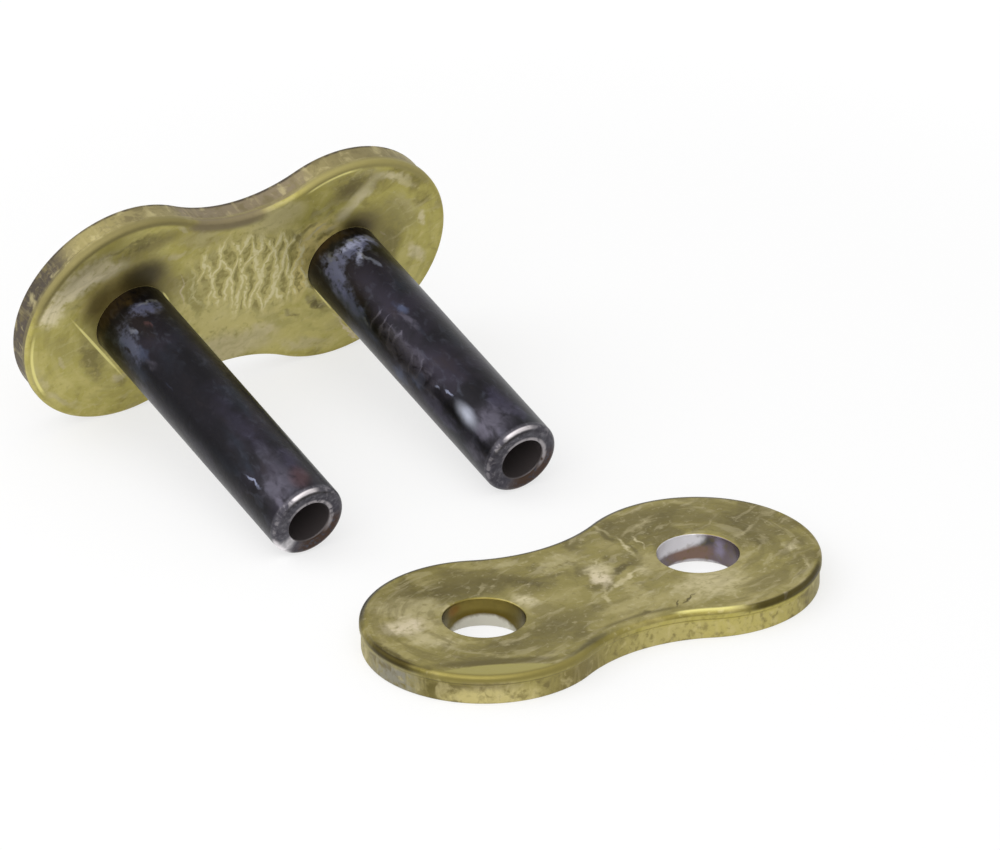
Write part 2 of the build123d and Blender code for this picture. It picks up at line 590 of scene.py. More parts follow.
@dataclass(frozen=True)
class GoldPlating:
    """Gold-coloured plating on a stamped steel plate, with painted shade and painted highlights."""

    name: str
    seat: Seat
    sizes: LinkSizes
    seed: float
    deep: Tone = tone("6F6534")
    olive: Tone = tone("8C8247")
    tan: Tone = tone("A0955E")
    pale: Tone = tone("C0B58C")
    wall: Tone = tone("9C925A")
    wall_dark: Tone = tone("6F6440")
    wall_light: Tone = tone("C6BA88")
    lip: Tone = tone("9C9257")
    hole: Tone = tone("5E5428")
    clouds: Tuple[float, float] = (0.4, 0.62)
    roughness: float = 0.34
    metallic: float = 1.0
    spots: Tuple[Spot, ...] = ()
    bands: Tuple[EdgeBand, ...] = ()
    wall_spots: Tuple[Spot, ...] = ()
    lip_spots: Tuple[Spot, ...] = ()
    lines: Tuple[Spot, ...] = ()
    hole_spots: Tuple[Spot, ...] = ()
    bare_and_sheen_spots: Tuple[Spot, ...] = ()
    ripples: Optional[Spot] = None
    streaks: float = 0.5
    wear: float = 0.38
    # darkens the back again, undoing the lightened ground tones that stand in for light on the
    # front
    back_darkening: float = 0.0

    def edge_distance(self, u: Shade, v: Shade) -> Tuple[Shade, Shade]:
        """Measures how far a point lies from the plate's outline and from a hole's axis.

        Args:
            u: The place along the pitch.
            v: The place across it.

        Returns:
            The distance outside the outline, below 0 inside it, and the radius from
            the nearer hole's axis.
        """
        sizes = self.sizes
        across = abs(v)
        out = abs(u) - sizes.half_pitch
        radius = (out * out + across * across).root()
        from_lobe = radius - sizes.lobe_radius
        rise = sizes.waist_centre - across
        from_waist = sizes.waist_radius - (u * u + rise * rise).root()
        side = out * sizes.waist_centre + across * sizes.half_pitch
        in_middle = side.ramp(0.01, -0.01)
        return from_lobe + (from_waist - from_lobe) * in_middle, radius

    def point(self, bench: NodeBench) -> PlatePoint:
        """Finds the point that is coloured, and the patterns there.

        Args:
            bench: The finish's nodes.

        Returns:
            The point.
        """
        place = self.seat.own_place(bench)
        shifted = bench.added(place, (self.seed, self.seed * 0.7, self.seed * 0.3))
        u, v, depth = bench.parts(place)
        outside, radius = self.edge_distance(u, v)
        mottle = bench.noise(shifted, 0.75, 3.0, 0.6)
        flecks = bench.noise(shifted, 2.6, 4.0, 0.3)
        grain = bench.noise(shifted, 6.0, 4.0)
        ragged = (mottle - 0.5) * 1.5 + (flecks - 0.5) * 2.0
        return PlatePoint(
            place, shifted, u, v, depth, outside, radius, mottle, flecks, grain, ragged
        )

    def face(self, bench: NodeBench, at: PlatePoint) -> Tuple[Shade, Shade]:
        """Colours the flat faces: clouds, wear, arcs round the holes, marks, painted shade and
        highlights.

        Args:
            bench: The finish's nodes.
            at: The point.

        Returns:
            The colour, and the relief's height from 0 to 1.
        """
        swirled = bench.swirled(at.place, bench.noise_vector(at.shifted, 0.8, 4.0), 1.4)
        clouds = bench.noise(at.shifted, 0.2, 3.0, 0.4)
        smears = bench.noise(bench.stretched(swirled, (3.2, 0.7, 1.0), 20), 1.0, 3.0, 0.2)
        low, high = self.clouds
        middle = (low + high) / 2
        tint = clouds * 0.5 + at.mottle * 0.3 + smears * 0.2
        ground = bench.mix(tint.ramp(low, middle), self.deep, self.olive)
        ground = bench.mix(tint.ramp(middle, high), ground, self.tan)
        out = abs(at.along) - self.sizes.half_pitch
        curl = bench.joined(
            at.radius * 1.4, at.across.turn_from(out) * 1.7, at.along * 0.2 + self.seed
        )
        arcs = bench.noise(curl, 1.0, 4.0, 0.3)
        on_lobe = out.ramp(-4.0, -1.0, self.streaks)
        wear = (
            (smears.ramp(0.52, 0.72, self.wear), self.deep),
            (smears.ramp(0.46, 0.3, self.wear), self.pale),
            (at.flecks.ramp(0.56, 0.76, self.wear), self.pale),
            (at.flecks.ramp(0.44, 0.26, self.wear), self.deep),
            (arcs.ramp(0.5, 0.66) * on_lobe, self.deep),
            (arcs.ramp(0.46, 0.32) * on_lobe * 0.6, self.pale),
        )
        # The spots: tones and stains, with painted sheen, painted glare and painted light round the
        # pins' feet.
        face = lay_spots(bench, ground, swirled, self.spots, at.ragged)
        for share, worn_tone in wear:
            ground = bench.mix(share, ground, worn_tone)
            face = bench.mix(share, face, worn_tone)
        # The lines: painted shade round the pins' feet and along a crease, painted light, a painted
        # glare band, painted highlight lines, and a smooth patch.
        face = lay_spots(bench, face, at.place, self.lines, at.ragged * 0.5)
        in_front = at.depth.ramp(-0.9, -0.7)
        height = at.grain * 0.02 + at.mottle * 0.2 + at.flecks * 0.05 + smears * 0.1
        height = height + arcs * on_lobe * 0.15
        if self.ripples is not None:
            face, waved = self.lay_ripples(bench, face, swirled, at)
            height = height + waved * in_front * 0.3
        # Most bands are painted light: dark lines of shade along the outline, highlight lines, and
        # darker tones that dim the lamps' highlight on the lip.
        for band in self.bands:
            face = bench.mix(band.share(bench, swirled, at.outside), face, band.where.colour)
        # On the back the ground is darkened again, undoing the painted light that the lighter
        # ground tones carry against the front's shade.
        back = bench.mix(tint.ramp(0.66, 0.34, self.back_darkening), ground, self.deep)
        return bench.mix(in_front, back, face), height

    def lay_ripples(
        self, bench: NodeBench, face: Shade, swirled: Shade, at: PlatePoint
    ) -> Tuple[Shade, Shade]:
        """Lays the ripples of wear across the waist.

        Args:
            bench: The finish's nodes.
            face: The face's colour below them.
            swirled: The point's place, a little astray.
            at: The point.

        Returns:
            The colour with the ripples, and their height from 0 to 1.
        """
        sets = (((0.0, 0.0, 0.0), 19.0, 0.29), ((0.4, 3.0, 0.0), -9.0, 0.25))
        shape = {"Distortion": 6.5, "Detail": 2.0, "Detail Scale": 0.5}
        settings = {"wave_type": "BANDS", "bands_direction": "X"}
        first, second = (
            bench.node(
                "ShaderNodeTexWave",
                settings,
                {
                    "Vector": bench.moved(swirled, origin, (0, 0, radians(turn)), (1, 1, 1)),
                    "Scale": scale,
                    **shape,
                },
                "Fac",
            )
            for origin, turn, scale in sets
        )
        waved = first.most(second)
        within = self.ripples.share(bench, swirled, (at.mottle - 0.5) * 3.0)
        pits = waved.ramp(0.75, 0.4, 0.8) * within * at.flecks.ramp(0.25, 0.6)
        crests = waved.ramp(0.88, 1.0) * at.flecks.ramp(0.3, 0.5) * within
        face = bench.mix(pits, face, self.deep)
        return bench.mix(crests, face, self.ripples.colour), waved * within

    def side(self, bench: NodeBench, at: PlatePoint) -> Shade:
        """Colours the rim: the sheared wall, and the burnished lip above it, with painted shade,
        highlights and a floor reflection in places.

        Args:
            bench: The finish's nodes.
            at: The point.

        Returns:
            The colour.
        """
        blots = bench.noise(at.shifted, 1.1, 4.0, 0.5)
        shear = bench.noise(bench.stretched(at.shifted, (0.4, 0.4, 3.0)), 1.0, 3.0, 0.1)
        side = lay_spots(bench, self.wall, at.place, self.wall_spots, at.ragged)
        side = bench.mix(blots.ramp(0.48, 0.3, 0.7), side, self.wall_dark)
        side = bench.mix(blots.ramp(0.54, 0.7, 0.5), side, self.wall_light)
        side = bench.mix(at.flecks.ramp(0.5, 0.3, 0.4), side, self.wall_dark)
        side = bench.mix(shear.ramp(0.54, 0.72, 0.2), side, self.wall_light)
        burnished = at.depth.ramp(-0.85, -0.6) * (0.45 + (at.mottle - 0.5) * 1.2)
        # A lighter lip where it catches the light is a painted highlight.
        lip = lay_spots(bench, self.lip, at.place, self.lip_spots, at.ragged)
        side = bench.mix(burnished, side, lip)
        on_lip = at.depth.ramp(-0.5, -0.3)
        # The bands' painted shade and highlights run over the lip too.
        for band in self.bands:
            edge = band.share(bench, at.place, at.outside) * on_lip
            side = bench.mix(edge, side, band.where.colour)
        return side

    def bore(self, bench: NodeBench, at: PlatePoint) -> Tuple[Shade, Operand]:
        """Colours the walls of the holes: stains, and pale patches of uncoated steel and painted
        reflection.

        Args:
            bench: The finish's nodes.
            at: The point.

        Returns:
            The colour, and the share of those pale patches, from 0 to 1.
        """
        frayed = bench.swirled(at.place, bench.noise_vector(at.shifted, 1.2, 3.0), 0.5)
        inner = lay_spots(bench, self.hole, frayed, self.hole_spots)
        inner = bench.mix(at.flecks.ramp(0.5, 0.3, 0.35), inner, self.deep)
        bare_and_sheen = 0.0
        # pale patches: partly uncoated steel, partly painted reflection of the floor and
        # surroundings
        for spot in self.bare_and_sheen_spots:
            share = spot.share(bench, frayed, (at.flecks - 0.5) * 1.5)
            inner = bench.mix(share, inner, spot.colour)
            bare_and_sheen = share.most(bare_and_sheen)
        return inner, bare_and_sheen

    def material(self) -> bpy.types.Material:
        """Builds the finish's material.

        Returns:
            The material.
        """
        made = bpy.data.materials.new(self.name)
        bench = NodeBench(made)
        at = self.point(bench)
        on_rim = at.outside.ramp(-0.6, -0.3)
        on_wall = at.depth.ramp(-0.22, -0.34) * on_rim
        in_hole = at.radius.ramp(self.sizes.pin_radius + 0.06, self.sizes.pin_radius + 0.01)
        face, height = self.face(bench, at)
        inner, bare_and_sheen = self.bore(bench, at)
        colour = bench.mix(on_wall, face, self.side(bench, at))
        colour = bench.mix(in_hole, colour, inner)
        metallic = self.metallic
        if self.bare_and_sheen_spots:
            metallic = metallic * (1.0 - in_hole * bare_and_sheen * DULLING)
        uneven = (at.mottle - 0.5) * 0.2 + (at.grain - 0.5) * 0.14
        bench.finish(colour, metallic, self.roughness + uneven + on_rim * 0.14, height)
        return made


@dataclass(frozen=True)
class PinPoint:
    """A point on a pin, and the random patterns there that its whole finish shares."""

    shifted: Shade  # the place, moved by the finish's seed
    along: Shade  # from the plate's inner face towards the free end
    radius: Shade
    around: Shade  # along the shank's skin, from the side that faces up
    lit: Shade  # 1 on the side that faces up, -1 on the opposite side
    sideways: Shade
    tint: Shade
    fine: Shade
    specks: Shade


@dataclass(frozen=True)
class BluedSteel:
    """Dark blued steel of a pin, bright where handling rubs it, with painted highlights and painted
    shade.
    """

    name: str
    seat: Seat
    sizes: LinkSizes
    seed: float
    dark: Tone = tone("201F22")
    violet: Tone = tone("2E2B33")
    blue: Tone = tone("2D323C")
    brown: Tone = tone("312B2B")
    bright: Tone = tone("7E8496")
    end: Tone = tone("66646A")
    end_dark: Tone = tone("45434A")
    end_brown: Tone = tone("4E3C30")
    pale: Tone = tone("C4BEC0")
    bore: Tone = tone("373335")
    bore_brown: Tone = tone("4B4545")
    facing: float = 127.7  # turns the pattern's seam away from the lit side, in degrees
    spots: Tuple[Spot, ...] = ()
    sheens: Tuple[Spot, ...] = ()
    frost: Tuple[Spot, ...] = ()

    def point(self, bench: NodeBench) -> PinPoint:
        """Finds the point that is coloured, and the patterns there.

        Args:
            bench: The finish's nodes.

        Returns:
            The point.
        """
        place = self.seat.own_place(bench)
        shifted = bench.added(place, (self.seed, 0.0, self.seed))
        out, aside, along = bench.parts(bench.stretched(place, (1, 1, 1), self.facing))
        radius = (out * out + aside * aside).root()
        return PinPoint(
            shifted,
            along,
            radius,
            around=aside.turn_from(out) * self.sizes.pin_radius,
            lit=out / radius,
            sideways=aside / radius,
            tint=bench.noise(bench.stretched(shifted, (1.0, 1.0, 2.2)), 0.55, 3.0, 0.3),
            fine=bench.noise(bench.stretched(shifted, (1.0, 1.0, 1.6)), 2.0, 5.0, 0.5),
            specks=bench.noise(shifted, 4.0, 4.0, 0.3),
        )

    def shank(self, bench: NodeBench, at: PinPoint, clouds: Shade, swirled: Shade) -> Shade:
        """Colours the shank: uneven blueing with rubbed places and marks.

        Args:
            bench: The finish's nodes.
            at: The point.
            clouds: A random value in large patches.
            swirled: The point's place on the unrolled shank, a little astray.

        Returns:
            The colour.
        """
        colour = bench.mix(clouds.ramp(0.4, 0.66), self.dark, self.violet)
        colour = bench.mix(at.tint.ramp(0.54, 0.74) * 0.5, colour, self.blue)
        colour = bench.mix(at.tint.ramp(0.44, 0.28) * 0.5, colour, self.brown)
        ragged = (at.tint - 0.5) + (at.fine - 0.5) * 3.0
        colour = lay_spots(bench, colour, swirled, self.spots, ragged)
        rub = at.fine.ramp(0.5, 0.8) * (0.1 + at.along.ramp(7.0, 1.0, 0.14))
        return bench.mix(rub, colour, self.bright)

    def free_end(self, bench: NodeBench, at: PinPoint) -> Tuple[Shade, Shade]:
        """Colours the free end: mottled, painted highlights on the rim and bore ring, painted shade
        below.

        Args:
            bench: The finish's nodes.
            at: The point.

        Returns:
            The colour, and how strongly the rim's painted highlight covers it.
        """
        sizes, reach = self.sizes, self.sizes.pin_reach
        blotches = at.fine.ramp(0.3, 0.7) * 0.6 + at.tint.ramp(0.4, 0.6, 0.4)
        end = bench.mix(blotches, self.end_dark, self.end)
        end = bench.mix(at.specks.ramp(0.5, 0.38) * 0.25, end, self.dark)
        end = bench.mix(at.specks.ramp(0.54, 0.7) * 0.15, end, self.pale)
        # painted shade: the side that faces down is browner
        below = at.lit.ramp(-0.3, -0.85) * at.specks.ramp(0.35, 0.5)
        end = bench.mix(below, end, self.end_brown)
        # painted highlight: the pale ring round the bore shows on the side towards the light
        ring = at.radius.ramp(sizes.bore_radius + 0.38, sizes.bore_radius + 0.2)
        ring = ring * (at.lit * 0.4 - at.sideways * 0.9).ramp(-0.5, 0.6)
        end = bench.mix(ring * at.fine.ramp(0.3, 0.55) * 0.75, end, self.pale)
        round_start = sizes.pin_radius - sizes.tip_round
        shoulder = at.radius.ramp(round_start, round_start + 0.12)
        crest = at.along.ramp(reach - 0.33, reach - 0.22)
        crest = crest * at.along.ramp(reach - 0.04, reach - 0.12)
        # painted highlight: a glint on the rim's lit side, and a lighter mottle over its lit half
        glint = (at.lit * 0.91 - at.sideways * 0.41).ramp(0.88, 0.99)
        lit_rim_mottle = at.lit.ramp(-0.4, 0.6) * at.fine.ramp(0.45, 0.6) * 0.3
        rim_highlight = shoulder * crest * (glint + lit_rim_mottle)
        return bench.mix(rim_highlight.least(1.0), end, self.pale), rim_highlight

    def head(self, bench: NodeBench, at: PinPoint) -> Shade:
        """Colours the riveted head: turning marks, painted shade in the dimple and a burnished rim.

        Args:
            bench: The finish's nodes.
            at: The point.

        Returns:
            The colour.
        """
        dimple = self.sizes.dimple_radius
        ringed = bench.joined(at.radius * 5.0, at.around * 0.2, self.seed)
        rings = bench.noise(ringed, 1.0, 3.0, 0.4)
        head = bench.mix(at.fine.ramp(0.2, 0.8), self.end_dark, self.end)
        head = bench.mix(rings.ramp(0.5, 0.75, 0.35), head, self.pale)
        head = bench.mix(rings.ramp(0.5, 0.25, 0.5), head, self.dark)
        # painted shade: the dimple is darker
        head = bench.mix(at.radius.ramp(dimple + 0.15, dimple - 0.1, 0.45), head, self.dark)
        burnished = at.radius.ramp(2.3, 2.62, 0.4) * at.fine.ramp(0.35, 0.55)
        return bench.mix(burnished, head, self.pale)

    def material(self) -> bpy.types.Material:
        """Builds the finish's material.

        Returns:
            The material.
        """
        sizes, reach = self.sizes, self.sizes.pin_reach
        made = bpy.data.materials.new(self.name)
        bench = NodeBench(made)
        at = self.point(bench)
        unrolled = bench.joined(at.around, at.along)
        swirled = bench.swirled(unrolled, bench.noise_vector(at.shifted, 1.1, 4.0), 1.0)
        clouds = bench.noise(at.shifted, 0.3, 3.0, 0.4)
        grain = bench.noise(at.shifted, 7.0, 4.0)
        colour = self.shank(bench, at, clouds, swirled)
        end, rim_highlight = self.free_end(bench, at)
        at_end = at.along.ramp(reach - 0.62, reach - 0.32) * (0.75 + rim_highlight * 0.25)
        colour = bench.mix(at_end, colour, end)
        colour = lay_spots(bench, colour, unrolled, self.sheens, (at.fine - 0.5) * 6.0)
        in_bore = at.radius.ramp(sizes.bore_radius + 0.1, sizes.bore_radius + 0.02)
        in_bore = in_bore * at.along.ramp(12.0, 14.0)
        chalk = in_bore
        frayed = (at.specks - 0.5) * 3.0 + (at.fine - 0.5) * 4.0
        for spot in self.frost:
            share = spot.share(bench, swirled, frayed)
            colour = bench.mix(share, colour, spot.colour)
            chalk = chalk.most(share)
        colour = bench.mix(at.along.ramp(-2.05, -2.2), colour, self.head(bench, at))
        # painted light in the bore: its colours are lightened against its shade, and browner on the
        # side that faces down
        inner = bench.mix(at.lit.ramp(0.2, -0.6), self.bore, self.bore_brown)
        colour = bench.mix(in_bore, colour, inner)
        roughness = 0.36 + (clouds - 0.5) * 0.2 + (grain - 0.5) * 0.16
        height = grain * 0.03 + clouds * 0.12 + at.fine * 0.08
        bench.finish(colour, 1.0 - chalk * DULLING, roughness, height)
        return made


# ------------------------------------------------------------------ modelling by hand

TOUCH = 0.01  # a corner this near a place, in mm, is in it
LEVEL = 1e-3  # a corner this near a height or a line, in mm, is on it
MERGE = 0.002  # corners this near each other, in mm, become one
CREASE = radians(40)  # an edge that turns by more than this stays sharp
FACE_LEAD = 100  # how much the larger faces lead the shading, out of 100


class Select(Enum):
    """What a selection by place picks."""

    VERT = "verts"
    EDGE = "edges"
    FACE = "faces"


class Hand:
    """Edit-mode tools shared by the pieces."""

    @staticmethod
    def start(name: str, add: Callable[..., Any], **size: Any) -> bpy.types.Object:
        """Adds a primitive and opens it for editing with nothing selected.

        Args:
            name: The piece's name.
            add: The operator that adds the primitive.
            size: The primitive's size and place, in millimetres.

        Returns:
            The new piece.
        """
        bpy.ops.object.select_all(action="DESELECT")
        add(**size)
        piece = bpy.context.object
        piece.name = name
        piece.data.name = name
        bpy.ops.object.transform_apply(location=True, rotation=True, scale=True)
        bpy.ops.object.mode_set(mode="EDIT")
        bpy.ops.mesh.select_all(action="DESELECT")
        return piece

    @staticmethod
    def pick(what: Select, test: Callable[[Vector], bool]) -> None:
        """Selects elements of the edited piece by the place of their corners.

        Args:
            what: Vertices, edges or faces.
            test: Says whether a corner is in the wanted place.
        """
        bpy.ops.mesh.select_all(action="DESELECT")
        mesh = bpy.context.edit_object.data
        form = bmesh.from_edit_mesh(mesh)
        form.select_mode = {what.name}
        bpy.context.tool_settings.mesh_select_mode = [what is one for one in Select]
        for element in getattr(form, what.value):
            corners = [element] if what is Select.VERT else element.verts
            if all(test(corner.co) for corner in corners):
                element.select_set(True)
        form.select_flush_mode()
        bmesh.update_edit_mesh(mesh)

    @staticmethod
    def pick_edges(test: Callable[[bmesh.types.BMEdge], bool]) -> None:
        """Selects the edges of the edited piece that pass a test.

        Args:
            test: Says whether an edge is wanted.
        """
        mesh = bpy.context.edit_object.data
        bpy.ops.mesh.select_all(action="DESELECT")
        bpy.context.tool_settings.mesh_select_mode = [one is Select.EDGE for one in Select]
        form = bmesh.from_edit_mesh(mesh)
        for edge in form.edges:
            if test(edge):
                edge.select_set(True)
        bmesh.update_edit_mesh(mesh)

    @staticmethod
    def round_off(what: Select, test: Callable[[Vector], bool], size: float, steps: int) -> None:
        """Rounds the corners or the edges in a place.

        Args:
            what: Vertices or edges.
            test: Finds them.
            size: The round's reach along each side.
            steps: How many straight pieces make the round.
        """
        Hand.pick(what, test)
        affect = "VERTICES" if what is Select.VERT else "EDGES"
        bpy.ops.mesh.bevel(offset=size, offset_type="OFFSET", segments=steps, affect=affect)

    @staticmethod
    def draw_out(height: float) -> None:
        """Extrudes the selected faces along Z."""
        bpy.ops.mesh.extrude_region_move(TRANSFORM_OT_translate={"value": (0, 0, height)})

    @staticmethod
    def spin(angle: float, centre: Point, steps: int) -> None:
        """Sweeps the selection about an upright axis, turning from X towards Y."""
        bpy.ops.mesh.spin(steps=steps, angle=angle, center=centre, axis=(0, 0, -1))

    @staticmethod
    def finish(piece: bpy.types.Object) -> None:
        """Closes the edited mesh, turns its faces outwards and smooths its shading.

        Args:
            piece: The piece being edited.
        """
        bpy.ops.mesh.select_all(action="SELECT")
        bpy.ops.mesh.remove_doubles(threshold=MERGE)
        bpy.ops.mesh.normals_make_consistent(inside=False)
        bpy.ops.object.mode_set(mode="OBJECT")
        bpy.ops.object.shade_smooth_by_angle(angle=CREASE)
        even = piece.modifiers.new("even_shading", "WEIGHTED_NORMAL")
        even.keep_sharp = True
        even.weight = FACE_LEAD
        bpy.ops.object.modifier_apply(modifier=even.name)

    @staticmethod
    def copied(piece: bpy.types.Object, name: str) -> bpy.types.Object:
        """Copies a piece, with a mesh of its own.

        Args:
            piece: The piece.
            name: The copy's name.

        Returns:
            The copy.
        """
        copy = piece.copy()
        copy.data = piece.data.copy()
        copy.name = name
        copy.data.name = name
        bpy.context.collection.objects.link(copy)
        return copy


# ------------------------------------------------------------------ the pieces


@dataclass
class StampedPlate:
    """One outer plate: two lobes and a waist, with a lip, a sheared wall and two holes."""

    name: str
    node: str
    seat: Seat
    finish: GoldPlating
    sizes: LinkSizes
    lobe_steps: int = 72
    waist_steps: int = 28
    hole_steps: int = 24  # round the part of a hole that faces the waist
    lip_round_steps: int = 6
    rim_round_steps: int = 4
    step_round_steps: int = 2
    step_slope: float = 0.1  # the height in which the lip steps down to the wall
    step_top_round: float = 0.05
    step_foot_round: float = 0.04
    rim_zone: float = 0.2  # how far inside the lip's edge the rim's corners lie
    hole_zone: float = 1.0  # how far outside a hole's wall its corners lie

    def shape_section(self) -> None:
        """Turns the standing rectangle into the section of one hole's wall and the rim."""
        s = self.sizes
        hole_wall = s.half_pitch + s.pin_radius + TOUCH
        rim = s.half_pitch + s.lobe_radius
        rim_wall = rim - TOUCH
        rim_zone = rim - self.rim_zone
        step_top = -s.lip_height
        step_foot = step_top - self.step_slope
        above, below = -TOUCH, TOUCH - s.thickness
        for height in (step_top, step_foot):
            bpy.ops.mesh.select_all(action="SELECT")
            bpy.ops.mesh.bisect(plane_co=(0, 0, height), plane_no=(0, 0, 1), use_fill=False)
        self.pick_crossings(inner_only=True)
        bpy.ops.mesh.dissolve_edges(use_verts=False)
        Hand.pick(Select.VERT, lambda c: c.x > rim_wall and c.z < step_foot + TOUCH)
        bpy.ops.transform.translate(value=(-s.lip_step, 0, 0))
        rims, steps = self.rim_round_steps, self.step_round_steps
        top_round, foot_round = self.step_top_round, self.step_foot_round
        for test, size, count in (
            (lambda c: c.x > rim_wall and c.z > above, s.lip_break, self.lip_round_steps),
            (lambda c: c.x > rim_zone and c.z < below, s.wall_break, rims),
            (lambda c: c.x < hole_wall and c.z > above, s.hole_break, rims),
            (lambda c: c.x < hole_wall and c.z < below, s.hole_break, rims),
            (lambda c: c.x > rim_zone and abs(c.z - step_top) < TOUCH, top_round, steps),
            (lambda c: c.x > rim_zone and abs(c.z - step_foot) < TOUCH, foot_round, steps),
        ):
            Hand.round_off(Select.VERT, test, size, count)
        bpy.ops.mesh.select_mode(type="FACE")
        bpy.ops.mesh.select_all(action="SELECT")
        bpy.ops.mesh.delete(type="ONLY_FACE")
        self.pick_crossings(inner_only=False)
        bpy.ops.mesh.delete(type="EDGE")

    def pick_crossings(self, inner_only: bool) -> None:
        """Selects the section's level lines, which run from the hole to the rim.

        Args:
            inner_only: Leaves out the lines of the two flat faces.
        """
        s = self.sizes
        middle = s.half_pitch + (s.pin_radius + s.lobe_radius) / 2

        def crosses(edge: bmesh.types.BMEdge) -> bool:
            """Tells whether an edge is such a line.

            Args:
                edge: The edge.

            Returns:
                True for a line to pick.
            """
            low, high = sorted(vert.co.x for vert in edge.verts)
            inside = TOUCH - s.thickness < edge.verts[0].co.z < -TOUCH
            return low < middle < high and (inside or not inner_only)

        Hand.pick_edges(crosses)

    def sweep(self) -> None:
        """Sweeps the section along a quarter of the outline and half of one hole."""
        s = self.sizes
        lobe_centre = (s.half_pitch, 0, 0)
        zone = s.pin_radius + self.hole_zone
        end = Vector((cos(s.meet_angle), sin(s.meet_angle), 0))

        def on_end(c: Vector, of_hole: bool) -> bool:
            """Tells whether a corner is on the end of what has been swept.

            Args:
                c: The corner.
                of_hole: Asks for the end at the hole, and otherwise for the one at the rim.

            Returns:
                True for a corner on that end.
            """
            beside = abs((c.x - s.half_pitch) * end.y - c.y * end.x)
            at_hole = hypot(c.x - s.half_pitch, c.y) < zone
            return beside < LEVEL and c.y > 0 and at_hole is of_hole

        bpy.ops.mesh.select_all(action="SELECT")
        Hand.spin(s.meet_angle, lobe_centre, self.lobe_steps)
        Hand.pick(Select.VERT, lambda c: on_end(c, of_hole=False))
        Hand.spin(-(s.meet_angle - pi / 2), (0, s.waist_centre, 0), self.waist_steps)
        Hand.pick(Select.VERT, lambda c: on_end(c, of_hole=True))
        Hand.spin(pi - s.meet_angle, lobe_centre, self.hole_steps)

    def close_face(self, height: float) -> None:
        """Fills the flat face between the outline and the two holes.

        Args:
            height: The face's height in the plate's own frame.
        """

        def bounds_it(edge: bmesh.types.BMEdge) -> bool:
            """Tells whether an edge bounds the open face."""
            return edge.is_boundary and all(abs(v.co.z - height) < LEVEL for v in edge.verts)

        Hand.pick_edges(bounds_it)
        bpy.ops.mesh.fill(use_beauty=True)

    def build(self) -> bpy.types.Object:
        """Models the plate, settles it in its seat and dresses it.

        Returns:
            The finished piece.
        """
        s = self.sizes
        width = s.lobe_radius - s.pin_radius
        middle = (s.half_pitch + s.pin_radius + width / 2, 0, -s.thickness / 2)
        standing = {"size": 1.0, "location": middle, "rotation": (pi / 2, 0, 0)}
        piece = Hand.start(self.name, bpy.ops.mesh.primitive_plane_add, **standing)
        bpy.ops.mesh.select_all(action="SELECT")
        bpy.ops.transform.resize(value=(width, 1, s.thickness), center_override=middle)
        self.shape_section()
        self.sweep()
        bpy.ops.object.mode_set(mode="OBJECT")
        mirror = piece.modifiers.new("other_quarters", "MIRROR")
        mirror.use_axis = (True, True, False)
        mirror.merge_threshold = MERGE
        bpy.ops.object.modifier_apply(modifier=mirror.name)
        bpy.ops.object.mode_set(mode="EDIT")
        bpy.ops.mesh.select_all(action="SELECT")
        bpy.ops.mesh.remove_doubles(threshold=MERGE)
        self.close_face(0.0)
        self.close_face(-s.thickness)
        Hand.finish(piece)
        self.seat.settle(piece)
        piece.data.materials.append(self.finish.material())
        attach(piece, ROOT_BODY)
        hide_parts(self.node)
        return piece


